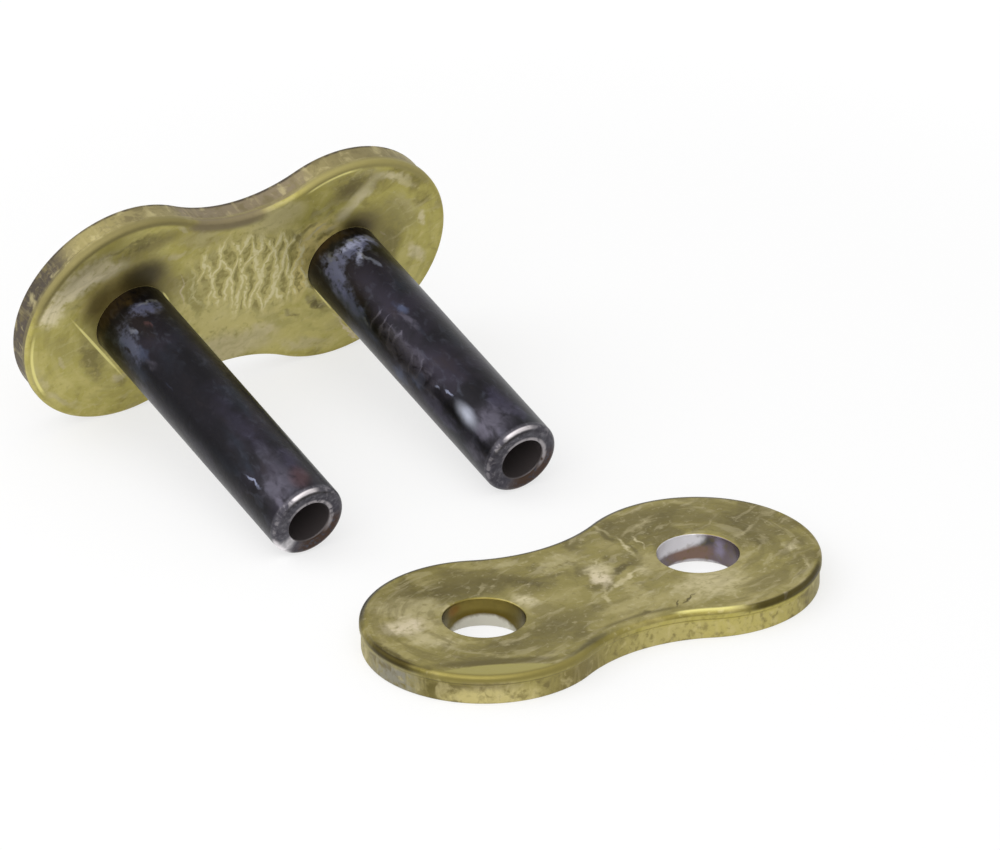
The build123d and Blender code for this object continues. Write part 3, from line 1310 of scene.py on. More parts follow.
@dataclass
class RivetPin:
    """One pin: a shank with a hollow free end, and a riveted head behind its plate."""

    name: str
    node: str
    seat: Seat
    finish: BluedSteel
    sizes: LinkSizes
    sides: int = 96
    tip_round_steps: int = 8
    bore_round_steps: int = 3
    head_round_steps: int = 4
    axis_zone: float = 0.1  # a corner this near the axis, in mm, is on it

    def hollow_end(self) -> None:
        """Sinks the rivet bore into the free end and rounds its rims."""
        s = self.sizes
        end = s.pin_reach - TOUCH
        bottom = s.pin_reach - s.bore_depth
        Hand.pick(Select.FACE, lambda c: c.z > end)
        bpy.ops.mesh.inset(thickness=s.pin_radius - s.bore_radius)
        Hand.draw_out(-s.bore_depth)
        bpy.ops.mesh.poke(offset=0.0)
        Hand.pick(Select.VERT, lambda c: abs(c.z - bottom) < TOUCH and self.on_axis(c))
        point = s.bore_radius / tan(radians(s.drill_point / 2))
        bpy.ops.transform.translate(value=(0, 0, -point))
        outer, inner = s.pin_radius - TOUCH, s.bore_radius + TOUCH
        for test, size, steps in (
            (lambda c: c.z > end and hypot(c.x, c.y) > outer, s.tip_round, self.tip_round_steps),
            (lambda c: c.z > end and hypot(c.x, c.y) < inner, s.bore_break, self.bore_round_steps),
        ):
            Hand.round_off(Select.EDGE, test, size, steps)

    def rivet_head(self) -> None:
        """Draws the shank through the plate and spreads the head behind it."""
        s = self.sizes
        head_end = -s.thickness - s.head_proud + TOUCH
        head_radius = s.pin_radius + s.head_flare
        Hand.pick(Select.FACE, lambda c: c.z < -s.thickness + TOUCH)
        bpy.ops.mesh.inset(thickness=0.0, depth=0.0)
        Hand.draw_out(0)
        share = head_radius / s.pin_radius
        bpy.ops.transform.resize(value=(share, share, 1))
        Hand.draw_out(-s.head_proud)
        bpy.ops.mesh.inset(thickness=head_radius - s.dimple_radius)
        bpy.ops.mesh.poke(offset=0.0)
        Hand.pick(Select.VERT, lambda c: c.z < head_end and self.on_axis(c))
        bpy.ops.transform.translate(value=(0, 0, s.dimple_depth))
        outer = head_radius - TOUCH
        Hand.round_off(
            Select.EDGE,
            lambda c: c.z < head_end and hypot(c.x, c.y) > outer,
            s.head_break,
            self.head_round_steps,
        )

    def on_axis(self, corner: Vector) -> bool:
        """Tells whether a corner is on the pin's axis."""
        return hypot(corner.x, corner.y) < self.axis_zone

    def shape(self) -> bpy.types.Object:
        """Models the pin in its own frame, in millimetres.

        Returns:
            The shaped piece.
        """
        s = self.sizes
        depth = s.pin_reach + s.thickness
        piece = Hand.start(
            self.name,
            bpy.ops.mesh.primitive_cylinder_add,
            vertices=self.sides,
            radius=s.pin_radius,
            depth=depth,
            location=(0, 0, s.pin_reach - depth / 2),
        )
        self.hollow_end()
        self.rivet_head()
        Hand.finish(piece)
        return piece

    def build(self, piece: bpy.types.Object) -> bpy.types.Object:
        """Settles a shaped pin in its seat and dresses it.

        Args:
            piece: The pin in its own frame, modelled or copied.

        Returns:
            The finished piece.
        """
        self.seat.settle(piece)
        piece.data.materials.append(self.finish.material())
        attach(piece, ROOT_BODY)
        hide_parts(self.node)
        return piece


# ------------------------------------------------------------------ the studio

WHITE = (1.0, 1.0, 1.0)


def heading(azimuth: float, elevation: float) -> Vector:
    """Turns two angles in degrees into the direction towards a camera or a lamp.

    Args:
        azimuth: The angle round the link, from the front.
        elevation: The angle above the floor.

    Returns:
        The direction, of length 1.
    """
    turn, rise = radians(azimuth), radians(elevation)
    return Vector((sin(turn) * cos(rise), -cos(turn) * cos(rise), sin(rise)))


@dataclass(frozen=True)
class Viewpoint:
    """The camera's place, given by what it aims at and the angles it looks from."""

    aim: Point = (10.379, 7.956, 0.0)
    azimuth: float = -32.478
    elevation: float = 27.292
    distance: float = 770.6
    lens: float = 432.0
    clip: Tuple[float, float] = (50.0, 20000.0)

    def set_up(self) -> None:
        """Makes the camera and puts the scene behind it."""
        data = bpy.data.cameras.new("camera")
        data.lens = self.lens
        data.clip_start, data.clip_end = (end * MM for end in self.clip)
        camera = bpy.data.objects.new("camera", data)
        back = heading(self.azimuth, self.elevation)
        camera.location = (Vector(self.aim) + back * self.distance) * MM
        camera.rotation_euler = (pi / 2 - radians(self.elevation), 0.0, radians(self.azimuth))
        bpy.context.scene.collection.objects.link(camera)
        bpy.context.scene.camera = camera


@dataclass(frozen=True)
class Softbox:
    """A square lamp that faces the link."""

    name: str
    azimuth: float
    elevation: float
    distance: float
    size: float
    power: float
    aim: Point = (0.0, 0.0, 5.0)

    def set_up(self) -> None:
        """Hangs the lamp."""
        data = bpy.data.lights.new(self.name, "AREA")
        data.shape = "SQUARE"
        data.size = self.size * MM
        data.energy = self.power
        lamp = bpy.data.objects.new(self.name, data)
        back = heading(self.azimuth, self.elevation)
        lamp.location = (Vector(self.aim) + back * self.distance) * MM
        lamp.rotation_mode = "QUATERNION"
        lamp.rotation_quaternion = (-back).to_track_quat("-Z", "Y")
        bpy.context.scene.collection.objects.link(lamp)


@dataclass(frozen=True)
class Studio:
    """The pale floor, the white surroundings and the lamps."""

    softboxes: Tuple[Softbox, ...] = (
        Softbox("overhead", azimuth=-60.0, elevation=65.0, distance=400.0, size=700.0, power=1.05),
        Softbox("rim", azimuth=-127.0, elevation=33.0, distance=350.0, size=300.0, power=0.28),
        Softbox("fill", azimuth=-45.0, elevation=20.0, distance=450.0, size=700.0, power=1.10),
    )
    ambient: float = 0.5
    floor_size: float = 3000.0
    floor_white: float = 0.9
    floor_glow: float = 1.05
    shadow_share: float = 0.35
    shadow_reach: Tuple[float, float] = (45.0, 110.0)

    @staticmethod
    def seen_white(bench: NodeBench) -> Shade:
        """Finds the rays that show the surroundings: straight, mirrored or through glass.

        Args:
            bench: The nodes of the floor or the surroundings.

        Returns:
            1 for such a ray and 0 for any other.
        """
        path = bench.node("ShaderNodeLightPath", None, None, "Is Camera Ray")
        rays = path.socket.node.outputs
        glossy = Shade(bench, rays["Is Glossy Ray"])
        through = Shade(bench, rays["Is Transmission Ray"])
        return path.most(glossy).most(through)

    def set_world(self) -> None:
        """Makes surroundings that look white and light the link evenly."""
        world = bpy.data.worlds.new("surroundings")
        bpy.context.scene.world = world
        bench = NodeBench(world)
        strength = self.ambient + (1.0 - self.ambient) * self.seen_white(bench)
        glow = bench.node("ShaderNodeBackground", None, {"Color": WHITE, "Strength": strength})
        bench.node("ShaderNodeOutputWorld", None, {"Surface": glow})

    def lay_floor(self) -> None:
        """Lays a pale floor that looks white and keeps the link's shadow."""
        bpy.ops.object.select_all(action="DESELECT")
        bpy.ops.mesh.primitive_plane_add(size=self.floor_size * MM, location=(0, 0, 0))
        floor = bpy.context.object
        floor.name = "floor"
        paper = bpy.data.materials.new("floor_paper")
        bench = NodeBench(paper)
        away = bench.length(bench.node("ShaderNodeTexCoord", None, None, "Object"))
        near, far = self.shadow_reach
        shaded = away.ramp(far * MM, near * MM)
        lit = bench.node("ShaderNodeBsdfDiffuse", None, {"Color": (self.floor_white,) * 3})
        glow = bench.node("ShaderNodeEmission", None, {"Color": WHITE, "Strength": self.floor_glow})
        share = self.seen_white(bench) * (1.0 - shaded * self.shadow_share)
        skin = bench.node("ShaderNodeMixShader", None, {0: share, 1: lit, 2: glow})
        bench.node("ShaderNodeOutputMaterial", None, {"Surface": skin})
        floor.data.materials.append(paper)

    def set_up(self) -> None:
        """Sets the whole studio."""
        self.set_world()
        self.lay_floor()
        for softbox in self.softboxes:
            softbox.set_up()
        bpy.context.scene.view_settings.view_transform = "Standard"


# ------------------------------------------------------------------ the marks of use, painted shade and painted highlights

DEEP_OLIVE = tone("5A5024")
WARM_OLIVE = tone("766C3A")
MID_OLIVE = tone("887D48")
SMOOTH_OLIVE = tone("9E9556")
TAN = tone("A79C68")
# the sheen tones are painted sheen: reflections of the surroundings laid into the colour
SHEEN = tone("BDB286")
PINK_SHEEN = tone("D2C5A6")
PALE_SHEEN = tone("CBC098")
# painted highlight: thin lit lines on the lip's edges and beside the pins
HIGHLIGHT_LINE = tone("E9E08F")
# painted shade: round the pins' feet, along creases and as dark lines on the edges
SHADE_DARK = tone("3F3719")
SHADE_BROWN = tone("5B4F26")
# painted light: lightens the plate where the pins' dark reflection falls
SHADE_LIFT = tone("DCCB80")
# painted glare: a light band on the pinned plate's left lobe
GLARE = tone("E8DCB8")
RUST = tone("7A5A2C")
STEEL_GREY = tone("57545F")
STEEL_BLUE = tone("4D546B")
STEEL_PALE = tone("7E8398")
STEEL_WHITE = tone("A6AAB8")
FROST_DARK = tone("41455B")
FROST = tone("5D6180")
FROST_WHITE = tone("A2A8CC")
# painted highlight: a white fleck on a pin's rim
SHINE = tone("F2EEF0")
STEEL_VIOLET = tone("3C3948")
STEEL_BROWN = tone("5C4D34")
STEEL_RED = tone("60474A")
STEEL_BLACK = tone("2C2B2F")
STEEL_INK = tone("18171A")

# A row of a table is the place, the reach, the turn in degrees, the colour and the strength,
# and then the core and the fray where they aren't the usual ones.

# Tones and stains on the lip face, with painted sheen and glare in the sheen tones.
LOOSE_SPOTS = marks(
    (-8.2, 4.4, 6.0, 2.2, -8, DEEP_OLIVE, 0.8, 0.0),
    (-7.4, -4.3, 5.0, 1.7, -12, DEEP_OLIVE, 0.6, 0.0),
    (8.2, 5.2, 5.4, 1.9, 4, DEEP_OLIVE, 0.7, 0.0),
    (12.4, 1.8, 1.8, 3.4, 0, DEEP_OLIVE, 0.75, 0.0),
    (4.0, 1.0, 1.3, 2.8, 10, DEEP_OLIVE, 0.6, 0.0),
    (-5.7, 4.0, 3.3, 1.8, -40, WARM_OLIVE, 0.75),
    (-3.1, 2.3, 1.8, 1.0, -53, DEEP_OLIVE, 0.9, 0.1),
    (-10.7, 4.4, 1.5, 1.2, 23, DEEP_OLIVE, 0.3, 0.1),
    (-8.4, 5.9, 1.2, 0.5, 13, TAN, 0.6, 0.1),
    (-3.9, 5.6, 2.7, 0.7, -23, TAN, 0.6, 0.1),
    (-0.2, 3.6, 2.1, 1.2, 11, SHEEN, 0.45),
    (-13.7, 3.2, 1.4, 0.7, 52, TAN, 0.6),
    (-12.5, 1.5, 2.0, 1.3, -11, PINK_SHEEN, 1.0),
    (-12.3, -0.9, 1.9, 1.0, -63, SHEEN, 0.8),
    (-9.7, 1.5, 1.7, 0.2, 64, SHEEN, 0.6, 0.3),
    (-4.6, 0.5, 1.1, 0.8, -77, PALE_SHEEN, 1.0),
    (-4.2, -1.2, 1.0, 1.2, 20, WARM_OLIVE, 0.6, 0.3, 0.5),
    (-2.7, -0.3, 1.4, 0.8, -17, TAN, 0.2),
    (-3.9, -3.0, 3.3, 1.6, -3, WARM_OLIVE, 0.85),
    (-10.2, -3.6, 2.3, 0.5, -38, WARM_OLIVE, 0.75, 0.1),
    (-10.6, -2.3, 1.5, 0.4, -27, TAN, 0.6, 0.1),
    (-9.8, -4.8, 2.2, 0.3, -29, TAN, 0.5, 0.1),
    (-11.7, -4.9, 3.1, 0.4, -28, WARM_OLIVE, 0.8, 0.1),
    (-8.2, -6.8, 1.7, 0.4, -11, WARM_OLIVE, 0.7, 0.1),
    (-15.1, -0.9, 2.5, 0.3, -85, DEEP_OLIVE, 0.9),
    (-14.8, 0.9, 1.9, 0.3, 86, TAN, 0.6),
    (7.0, 5.8, 2.6, 1.2, 24, MID_OLIVE, 0.85),
    (10.8, 6.4, 1.9, 0.5, -22, TAN, 0.6, 0.1),
    (10.6, 3.9, 1.8, 1.3, -17, WARM_OLIVE, 0.85),
    (6.7, 3.0, 2.0, 0.2, 63, WARM_OLIVE, 0.7),
    (13.1, 0.9, 1.6, 0.9, -84, TAN, 0.3),
    (12.1, -0.8, 0.8, 0.5, -75, DEEP_OLIVE, 0.85, 0.1),
    (11.0, -0.5, 0.7, 0.4, 72, WARM_OLIVE, 0.7, 0.1),
    (13.2, -2.4, 0.6, 0.5, 89, PALE_SHEEN, 0.9),
    (13.0, -4.6, 0.9, 0.3, 72, SHEEN, 0.8),
    (11.8, -5.8, 1.1, 0.3, 28, DEEP_OLIVE, 0.8, 0.1),
    (13.2, -4.9, 2.0, 0.3, 63, WARM_OLIVE, 0.6),
    (4.2, 5.0, 1.3, 0.3, -85, DEEP_OLIVE, 0.8, 0.1),
    (4.4, 5.9, 1.1, 0.2, -78, SHEEN, 0.7, 0.1),
    (4.5, 3.0, 1.9, 0.2, 81, PALE_SHEEN, 0.85, 0.1),
    (5.6, 3.2, 1.0, 0.1, 81, PALE_SHEEN, 0.8, 0.1),
    (4.7, 2.3, 1.7, 0.2, 81, DEEP_OLIVE, 0.8, 0.1),
    (2.8, 0.9, 1.3, 0.4, 30, DEEP_OLIVE, 0.95),
    (2.8, 2.3, 0.6, 0.5, 18, DEEP_OLIVE, 0.8, 0.1),
    (5.1, 1.1, 1.0, 0.2, -16, DEEP_OLIVE, 0.8, 0.1),
    (1.0, 0.4, 1.5, 0.9, 71, PINK_SHEEN, 1.0),
    (1.3, 2.1, 1.2, 0.2, 30, PALE_SHEEN, 0.8, 0.1),
    (2.1, -0.6, 2.4, 0.2, 22, PALE_SHEEN, 0.8, 0.1),
    (-0.1, -1.9, 1.7, 0.2, 72, SHEEN, 0.7, 0.1),
    (3.9, -0.1, 0.9, 0.7, -85, SHEEN, 0.8),
    (1.9, -2.0, 2.3, 0.7, 78, TAN, 0.7),
    (2.6, -3.0, 2.0, 0.1, 62, MID_OLIVE, 0.7, 0.1),
    (1.0, -3.8, 2.8, 0.3, -4, TAN, 0.7, 0.1),
    (-0.5, -2.8, 2.5, 0.4, 10, WARM_OLIVE, 0.7, 0.1),
    (5.1, -1.9, 1.2, 0.4, -77, MID_OLIVE, 0.7, 0.1),
    (6.3, -3.9, 2.9, 1.8, -8, SHEEN, 0.9, 0.2),
    (9.8, -5.4, 2.0, 1.1, 20, MID_OLIVE, 0.7),
    (4.2, -4.7, 0.6, 0.1, 32, DEEP_OLIVE, 1.0, 0.3),
    (3.4, -4.8, 0.5, 0.1, 37, DEEP_OLIVE, 0.9, 0.3),
    (0.8, -4.9, 0.5, 0.3, -69, DEEP_OLIVE, 0.8),
    (9.6, -7.8, 0.5, 0.2, 71, PINK_SHEEN, 0.9, 0.3),
    (-6.6, 3.6, 3.6, 1.4, -10, DEEP_OLIVE, 0.6, 0.4, 0.4),
    (-11.4, 3.6, 2.6, 1.6, -30, SHEEN, 0.65, 0.4, 0.5),
    (-11.3, 0.2, 0.8, 1.8, 0, TAN, 0.8, 0.4, 0.5),
    (-3.9, 1.4, 0.9, 0.7, 0, WARM_OLIVE, 0.7, 0.3, 0.5),
    (-5.4, -3.4, 1.9, 1.0, 0, DEEP_OLIVE, 0.5, 0.3, 0.5),
    (6.7, 5.8, 3.2, 1.1, 0, DEEP_OLIVE, 0.45, 0.4, 0.4),
    (12.4, 0.6, 1.6, 2.8, 0, DEEP_OLIVE, 0.45, 0.4, 0.5),
    (9.5, -5.6, 2.4, 1.0, 15, WARM_OLIVE, 0.7, 0.4, 0.5),
    (6.8, -3.2, 2.2, 1.0, 0, SHEEN, 0.6, 0.3, 0.6),
    (1.4, 1.6, 1.2, 1.2, 0, PALE_SHEEN, 0.6, 0.3),
    (4.8, 0.6, 0.8, 1.6, 0, TAN, 0.8, 0.4),
    (0.2, -3.4, 1.9, 0.8, 0, TAN, 0.6, 0.4),
)

# Painted shade along the crease where the front edge rolls over, and the smooth crescent in front
# of it.
LOOSE_LINES = marks(
    (-10.4, -5.3, 4.6, 0.5, -25, DEEP_OLIVE, 0.8, 0.3),
    (-11.0, -6.8, 4.0, 1.15, -25, SMOOTH_OLIVE, 1.0, 0.85),
)

# Painted light along the outline: dark lines of shade on the far edge, at the left end, along the
# front and in a crease; a muted tone that dims the lamps' highlight on the left front lip; a
# highlight line on the right lobe's front.
LOOSE_BANDS = (
    EdgeBand(-0.3, 0.5, Spot((0.0, 11.0), (21.0, 9.5), 0, tone("55534E"), 1.0, 0.7)),
    EdgeBand(-0.3, 0.12, Spot((-15.4, -1.0), (2.4, 3.2), 8, SHADE_DARK, 0.95, 0.3)),
    EdgeBand(-0.7, -0.1, Spot((-4.4, -7.0), (2.6, 1.6), 30, SHADE_DARK, 0.7, 0.3), 0.25),
    EdgeBand(-1.1, -0.8, Spot((0.2, -5.0), (3.6, 1.6), -5, DEEP_OLIVE, 0.7, 0.4), 0.2),
    EdgeBand(-0.32, 0.15, Spot((-9.4, -6.6), (5.6, 2.8), -15, tone("867C46"), 1.0, 0.6)),
    EdgeBand(-0.42, -0.15, Spot((4.3, -6.6), (2.4, 1.6), -25, HIGHLIGHT_LINE, 1.0, 0.4)),
    EdgeBand(-0.25, 0.1, Spot((10.8, -7.2), (4.4, 2.4), 15, SHADE_DARK, 0.9, 0.6)),
)

LOOSE_WALL_SPOTS = (
    Spot((-16.5, -1.5), (2.6, 3.4), 0, tone("8F8C80"), 0.9, 0.3),
    Spot((-14.0, -5.0), (2.0, 2.2), 0, tone("655C34"), 0.9, 0.3),
    Spot((-11.8, -6.6, -0.8), (2.4, 2.0, 0.9), 0, tone("7D7358"), 0.8),
    # painted reflection of the floor on the wall's foot
    Spot((-11.8, -6.7, -1.7), (4.0, 3.0, 1.0), 0, tone("C4B87E"), 0.9, 0.3),
    Spot((-5.6, -7.2), (3.0, 2.0), 0, tone("7C7144"), 0.9),
    Spot((2.0, -6.0), (4.0, 2.0), 0, tone("B8AD70"), 0.8),
    Spot((7.0, -7.0), (4.2, 2.5), 0, tone("B9AE6A"), 0.9),
    Spot((13.0, -5.8), (2.6, 2.6), 0, tone("8C824A"), 0.8),
)

LOOSE_HOLE_SPOTS = (
    Spot((-6.6, 2.2, -0.3), (2.8, 2.8, 0.8), 0, tone("7D6F38"), 1.0, 0.4),
    Spot((-8.6, 2.4, -0.5), (0.7, 0.7, 0.5), 0, tone("7C5A28"), 0.8),
    Spot((-6.6, 2.2, -1.2), (3.0, 3.0, 0.5), 0, tone("5E4F1C"), 0.9),
    Spot((8.0, 0.0, -1.0), (3.5, 3.5, 3.0), 0, tone("6F6468"), 1.0, 0.8),
    Spot((9.0, 2.4, -1.3), (1.7, 1.5, 0.8), 0, tone("7D675C"), 1.0, 0.4),
    Spot((9.6, 2.1, -0.5), (1.3, 0.9, 0.4), 0, tone("565250"), 1.0, 0.3),
    Spot((10.3, 1.1, -0.8), (0.3, 0.6, 0.9), 0, tone("8E869A"), 0.9),
    Spot((6.2, 1.9, -1.4), (0.9, 0.9, 0.5), 0, tone("5E5550"), 0.9),
)

# Pale patches on the holes' walls: partly uncoated steel, partly painted reflection.
LOOSE_BARE_AND_SHEEN_SPOTS = (
    Spot((-6.5, 2.2, -2.1), (2.5, 2.0, 0.9), 0, tone("CFCCBE"), 1.0, 0.7),
    Spot((7.5, 2.5, -0.3), (2.3, 1.3, 0.8), 0, tone("E2E0E4"), 1.0, 0.6),
    Spot((9.3, 2.2, -2.1), (2.2, 1.8, 0.35), 0, tone("D6D4DA"), 0.8, 0.5),
)

# Tones and stains, with painted light round the pins' feet, painted glare and painted sheen.
PINNED_SPOTS = marks(
    (-9.6, 2.4, 2.8, 2.0, 0, SHADE_LIFT, 0.9, 0.3),
    (6.0, 2.4, 2.6, 1.8, 0, SHADE_LIFT, 0.9, 0.3),
    (0.2, 0.2, 5.6, 5.4, 0, tone("C7BC7A"), 0.85, 0.5),
    (-8.0, 5.9, 2.3, 0.7, 19, DEEP_OLIVE, 0.7, 0.1),
    (-9.3, 6.1, 2.8, 0.3, 14, DEEP_OLIVE, 0.7, 0.1),
    (-9.1, 2.9, 0.5, 0.4, -19, RUST, 0.8, 0.1),
    (-8.5, 3.4, 0.6, 0.5, 11, DEEP_OLIVE, 0.6, 0.1),
    (-12.4, 4.2, 3.2, 1.3, 32, GLARE, 0.9, 0.3),
    (-10.2, 4.4, 1.9, 0.7, 15, GLARE, 0.8),
    (-14.2, 2.2, 1.2, 0.9, 80, GLARE, 0.8, 0.3),
    (-10.9, 4.9, 0.9, 0.5, 3, SHEEN, 0.6),
    (-13.2, -0.8, 2.1, 1.0, -52, SMOOTH_OLIVE, 0.6, 0.3),
    (-10.6, -2.5, 2.6, 0.9, -65, WARM_OLIVE, 0.85),
    (-12.8, -2.1, 0.7, 0.2, -49, SHEEN, 0.7),
    (-14.2, -3.2, 1.8, 0.5, -58, SHEEN, 0.6),
    (-12.3, -5.3, 2.0, 0.3, -35, SHEEN, 0.7),
    (-8.2, -4.9, 0.9, 0.3, -46, WARM_OLIVE, 0.6),
    (-8.3, -4.6, 0.8, 0.4, -3, PALE_SHEEN, 0.7),
    (-4.9, 1.9, 1.8, 0.3, -58, TAN, 0.5),
    (-3.4, 0.8, 2.6, 0.5, -71, SMOOTH_OLIVE, 0.9, 0.5),
    (-4.2, 1.3, 1.6, 0.1, -74, PINK_SHEEN, 0.7),
    (-3.5, 5.1, 2.8, 0.7, -16, TAN, 0.7),
    (-4.9, 6.4, 0.6, 0.2, -41, PALE_SHEEN, 0.7),
    (-5.2, 4.4, 1.1, 0.3, -5, SHEEN, 0.7),
    (-13.1, 5.9, 1.3, 0.2, 38, PALE_SHEEN, 0.6),
    (2.5, 5.5, 1.6, 1.0, 17, SMOOTH_OLIVE, 0.8, 0.3),
    (7.7, 6.0, 1.2, 0.9, -2, WARM_OLIVE, 0.75),
    (8.8, 5.0, 1.5, 0.5, 50, PALE_SHEEN, 1.0),
    (7.6, 4.0, 1.0, 0.4, 32, SHEEN, 0.8),
    (10.5, 6.1, 1.7, 0.5, -20, PALE_SHEEN, 0.9),
    (12.0, 5.3, 1.3, 0.4, -36, SHEEN, 0.7),
    (12.1, 2.6, 2.3, 1.1, -52, SMOOTH_OLIVE, 0.9, 0.4),
    (12.3, 3.2, 1.3, 0.6, -47, TAN, 0.7),
    (13.8, 1.7, 0.8, 0.3, -59, PALE_SHEEN, 0.8),
    (13.7, -1.1, 1.2, 0.4, -57, PALE_SHEEN, 0.8),
    (5.4, 3.0, 1.2, 0.2, 29, PALE_SHEEN, 0.8),
    (4.8, 3.4, 1.0, 0.2, 32, WARM_OLIVE, 0.8),
    (6.2, 2.6, 1.0, 0.2, 32, WARM_OLIVE, 0.8),
    (6.5, 3.0, 0.8, 0.1, 29, SHEEN, 0.7),
    (4.2, 2.8, 1.2, 0.3, -56, WARM_OLIVE, 0.7),
    (6.3, -3.0, 1.3, 0.4, -45, DEEP_OLIVE, 0.9),
    (5.9, -1.8, 1.1, 0.2, -39, WARM_OLIVE, 0.7),
    (8.9, -5.9, 2.2, 0.1, -51, PINK_SHEEN, 0.8, 0.3),
    (10.7, 1.3, 0.6, 0.1, -52, PINK_SHEEN, 0.8, 0.3),
    (4.5, -3.4, 0.6, 0.2, -40, WARM_OLIVE, 0.8),
    (2.4, -4.1, 1.6, 0.5, -10, PALE_SHEEN, 0.7),
    (1.9, -4.5, 1.2, 0.5, -9, SMOOTH_OLIVE, 0.7, 0.4),
    (5.9, -6.2, 2.4, 0.6, -14, SHEEN, 0.7),
    (3.1, -3.5, 2.3, 0.6, -29, SMOOTH_OLIVE, 0.6),
    (8.4, -5.1, 1.2, 0.6, 22, TAN, 0.5),
    (11.4, 0.0, 1.2, 2.8, 0, WARM_OLIVE, 0.8, 0.2),
    (8.4, 6.2, 2.4, 1.3, -10, WARM_OLIVE, 0.8, 0.2),
    (2.2, 5.0, 2.6, 1.3, 15, tone("C9BE88"), 0.8, 0.3, 0.5),
    (-0.8, -4.8, 4.6, 1.5, 0, SHEEN, 0.9, 0.4, 0.5),
)

# Painted shade round the pins' feet, painted light beside the right pin, a painted glare band by
# the right pin, and painted highlight lines.
PINNED_LINES = marks(
    (4.9, 0.4, 0.9, 3.0, 0, SHADE_LIFT, 0.7, 0.3, 0.3),
    (-8.1, 1.2, 3.8, 3.8, 0, WARM_OLIVE, 0.8, 0.4, 0.4),
    (-7.7, 3.0, 2.6, 2.3, 10, SHADE_BROWN, 0.95, 0.2, 0.4),
    (-10.6, 2.2, 1.3, 1.9, -25, SHADE_BROWN, 0.85, 0.2, 0.5),
    (-7.5, 3.3, 1.9, 1.3, 10, SHADE_DARK, 0.9, 0.2, 0.3),
    (-7.2, 5.7, 3.0, 0.7, 12, SHADE_BROWN, 0.6, 0.2, 0.8),
    (9.6, 1.4, 2.8, 3.0, 0, WARM_OLIVE, 0.7, 0.3, 0.4),
    (8.9, 2.6, 2.0, 1.4, -25, SHADE_BROWN, 0.9, 0.2, 0.4),
    (8.7, 2.5, 1.4, 0.7, -20, SHADE_DARK, 0.8, 0.2, 0.3),
    (7.6, 5.7, 1.8, 0.9, 30, SHADE_BROWN, 0.6, 0.2),
    (8.3, 4.8, 2.8, 0.6, 49, tone("C4BA8E"), 0.75, 0.1),
    (-10.3, -1.6, 3.7, 0.1, -53, HIGHLIGHT_LINE, 1.0, 0.5),
    (-5.5, 1.1, 0.6, 0.1, -57, HIGHLIGHT_LINE, 0.9, 0.4),
    (6.6, -2.5, 1.8, 0.1, -55, HIGHLIGHT_LINE, 1.0, 0.4),
)

# The wall's tone at the waist; darker tones that dim the lamps' highlight on the lip, as painted
# shade; a band of painted shade inside the top-left lip; and painted highlight lines.
PINNED_BANDS = (
    EdgeBand(-0.7, 0.3, Spot((-1.7, 5.6), (3.4, 1.9), 0, tone("7F7257"), 0.9, 0.5), 0.25),
    EdgeBand(-0.45, 0.2, Spot((-10.0, 6.4), (7.5, 3.4), 25, tone("857B4A"), 1.0, 0.6)),
    EdgeBand(-0.45, 0.2, Spot((9.0, 7.0), (6.0, 3.0), -15, tone("968C54"), 0.9, 0.6)),
    EdgeBand(-1.6, -0.5, Spot((-11.5, 5.6), (4.2, 2.2), 30, WARM_OLIVE, 0.45, 0.3), 0.5),
    EdgeBand(-0.5, -0.3, Spot((-15.0, -2.4), (1.6, 3.0), 0, HIGHLIGHT_LINE, 1.0, 0.5), 0.06),
    EdgeBand(-0.5, -0.35, Spot((6.4, 6.9), (2.0, 1.4), 15, HIGHLIGHT_LINE, 1.0, 0.5), 0.06),
)

PINNED_WALL_SPOTS = (
    Spot((0.0, 6.0), (5.5, 2.4), 0, tone("81745C"), 0.95, 0.6),
    Spot((-16.0, 0.0), (5.2, 8.4), 0, tone("4F453A"), 1.0, 0.7),
    Spot((-15.2, 4.6), (2.8, 2.6), 0, tone("3F372C"), 0.8, 0.3),
    Spot((9.5, 7.4), (3.6, 2.4), 0, tone("82774E"), 0.8, 0.4),
    Spot((-11.0, 6.8), (3.0, 2.2), 0, tone("998E5A"), 0.8),
    Spot((0.0, 6.0, -2.0), (22.0, 10.0, 0.3), 0, tone("3D342A"), 0.9, 0.5),
)

# Smooth marks over the whole pin: painted highlights, the white fleck on the left rim and the glint
# on the right shank, with greys, blues, a dark band and browns.
PIN_SHEENS = {
    "left": marks(
        (1.9, 3.8, 3.4, 0.6, 88, STEEL_BLUE, 0.3),
        (0.9, 10.5, 7.5, 2.2, 88, STEEL_INK, 0.85, 0.3, 0.3),
        (-0.9, 18.9, 2.6, 0.8, 88, STEEL_GREY, 0.35, 0.2, 0.3),
        (-0.2, 20.4, 1.6, 1.6, 88, STEEL_GREY, 0.6, 0.0, 0.4),
        (-1.6, 20.6, 1.2, 0.8, 70, STEEL_RED, 0.5, 0.2, 0.3),
        # painted highlight: a white fleck on the rim
        (4.3, 21.95, 1.1, 0.3, 0, SHINE, 1.0, 0.4, 0.2),
        (0.6, 0.3, 3.4, 0.8, 0, STEEL_BROWN, 0.55, 0.2, 0.6),
    ),
    "right": marks(
        (-0.6, 0.2, 3.2, 0.6, 0, STEEL_BROWN, 0.4, 0.2, 0.6),
        # painted highlight: a smooth glint on the shank
        (0.8, 18.5, 1.5, 0.6, 86, STEEL_WHITE, 0.8, 0.0, 0.1),
        (-0.2, 20.2, 1.8, 1.8, 88, STEEL_GREY, 0.7, 0.0, 0.4),
        (1.8, 5.0, 4.0, 0.5, 87, STEEL_BLUE, 0.8, 0.2, 0.3),
        (1.2, 11.5, 4.5, 1.0, 88, STEEL_GREY, 0.5),
    ),
}

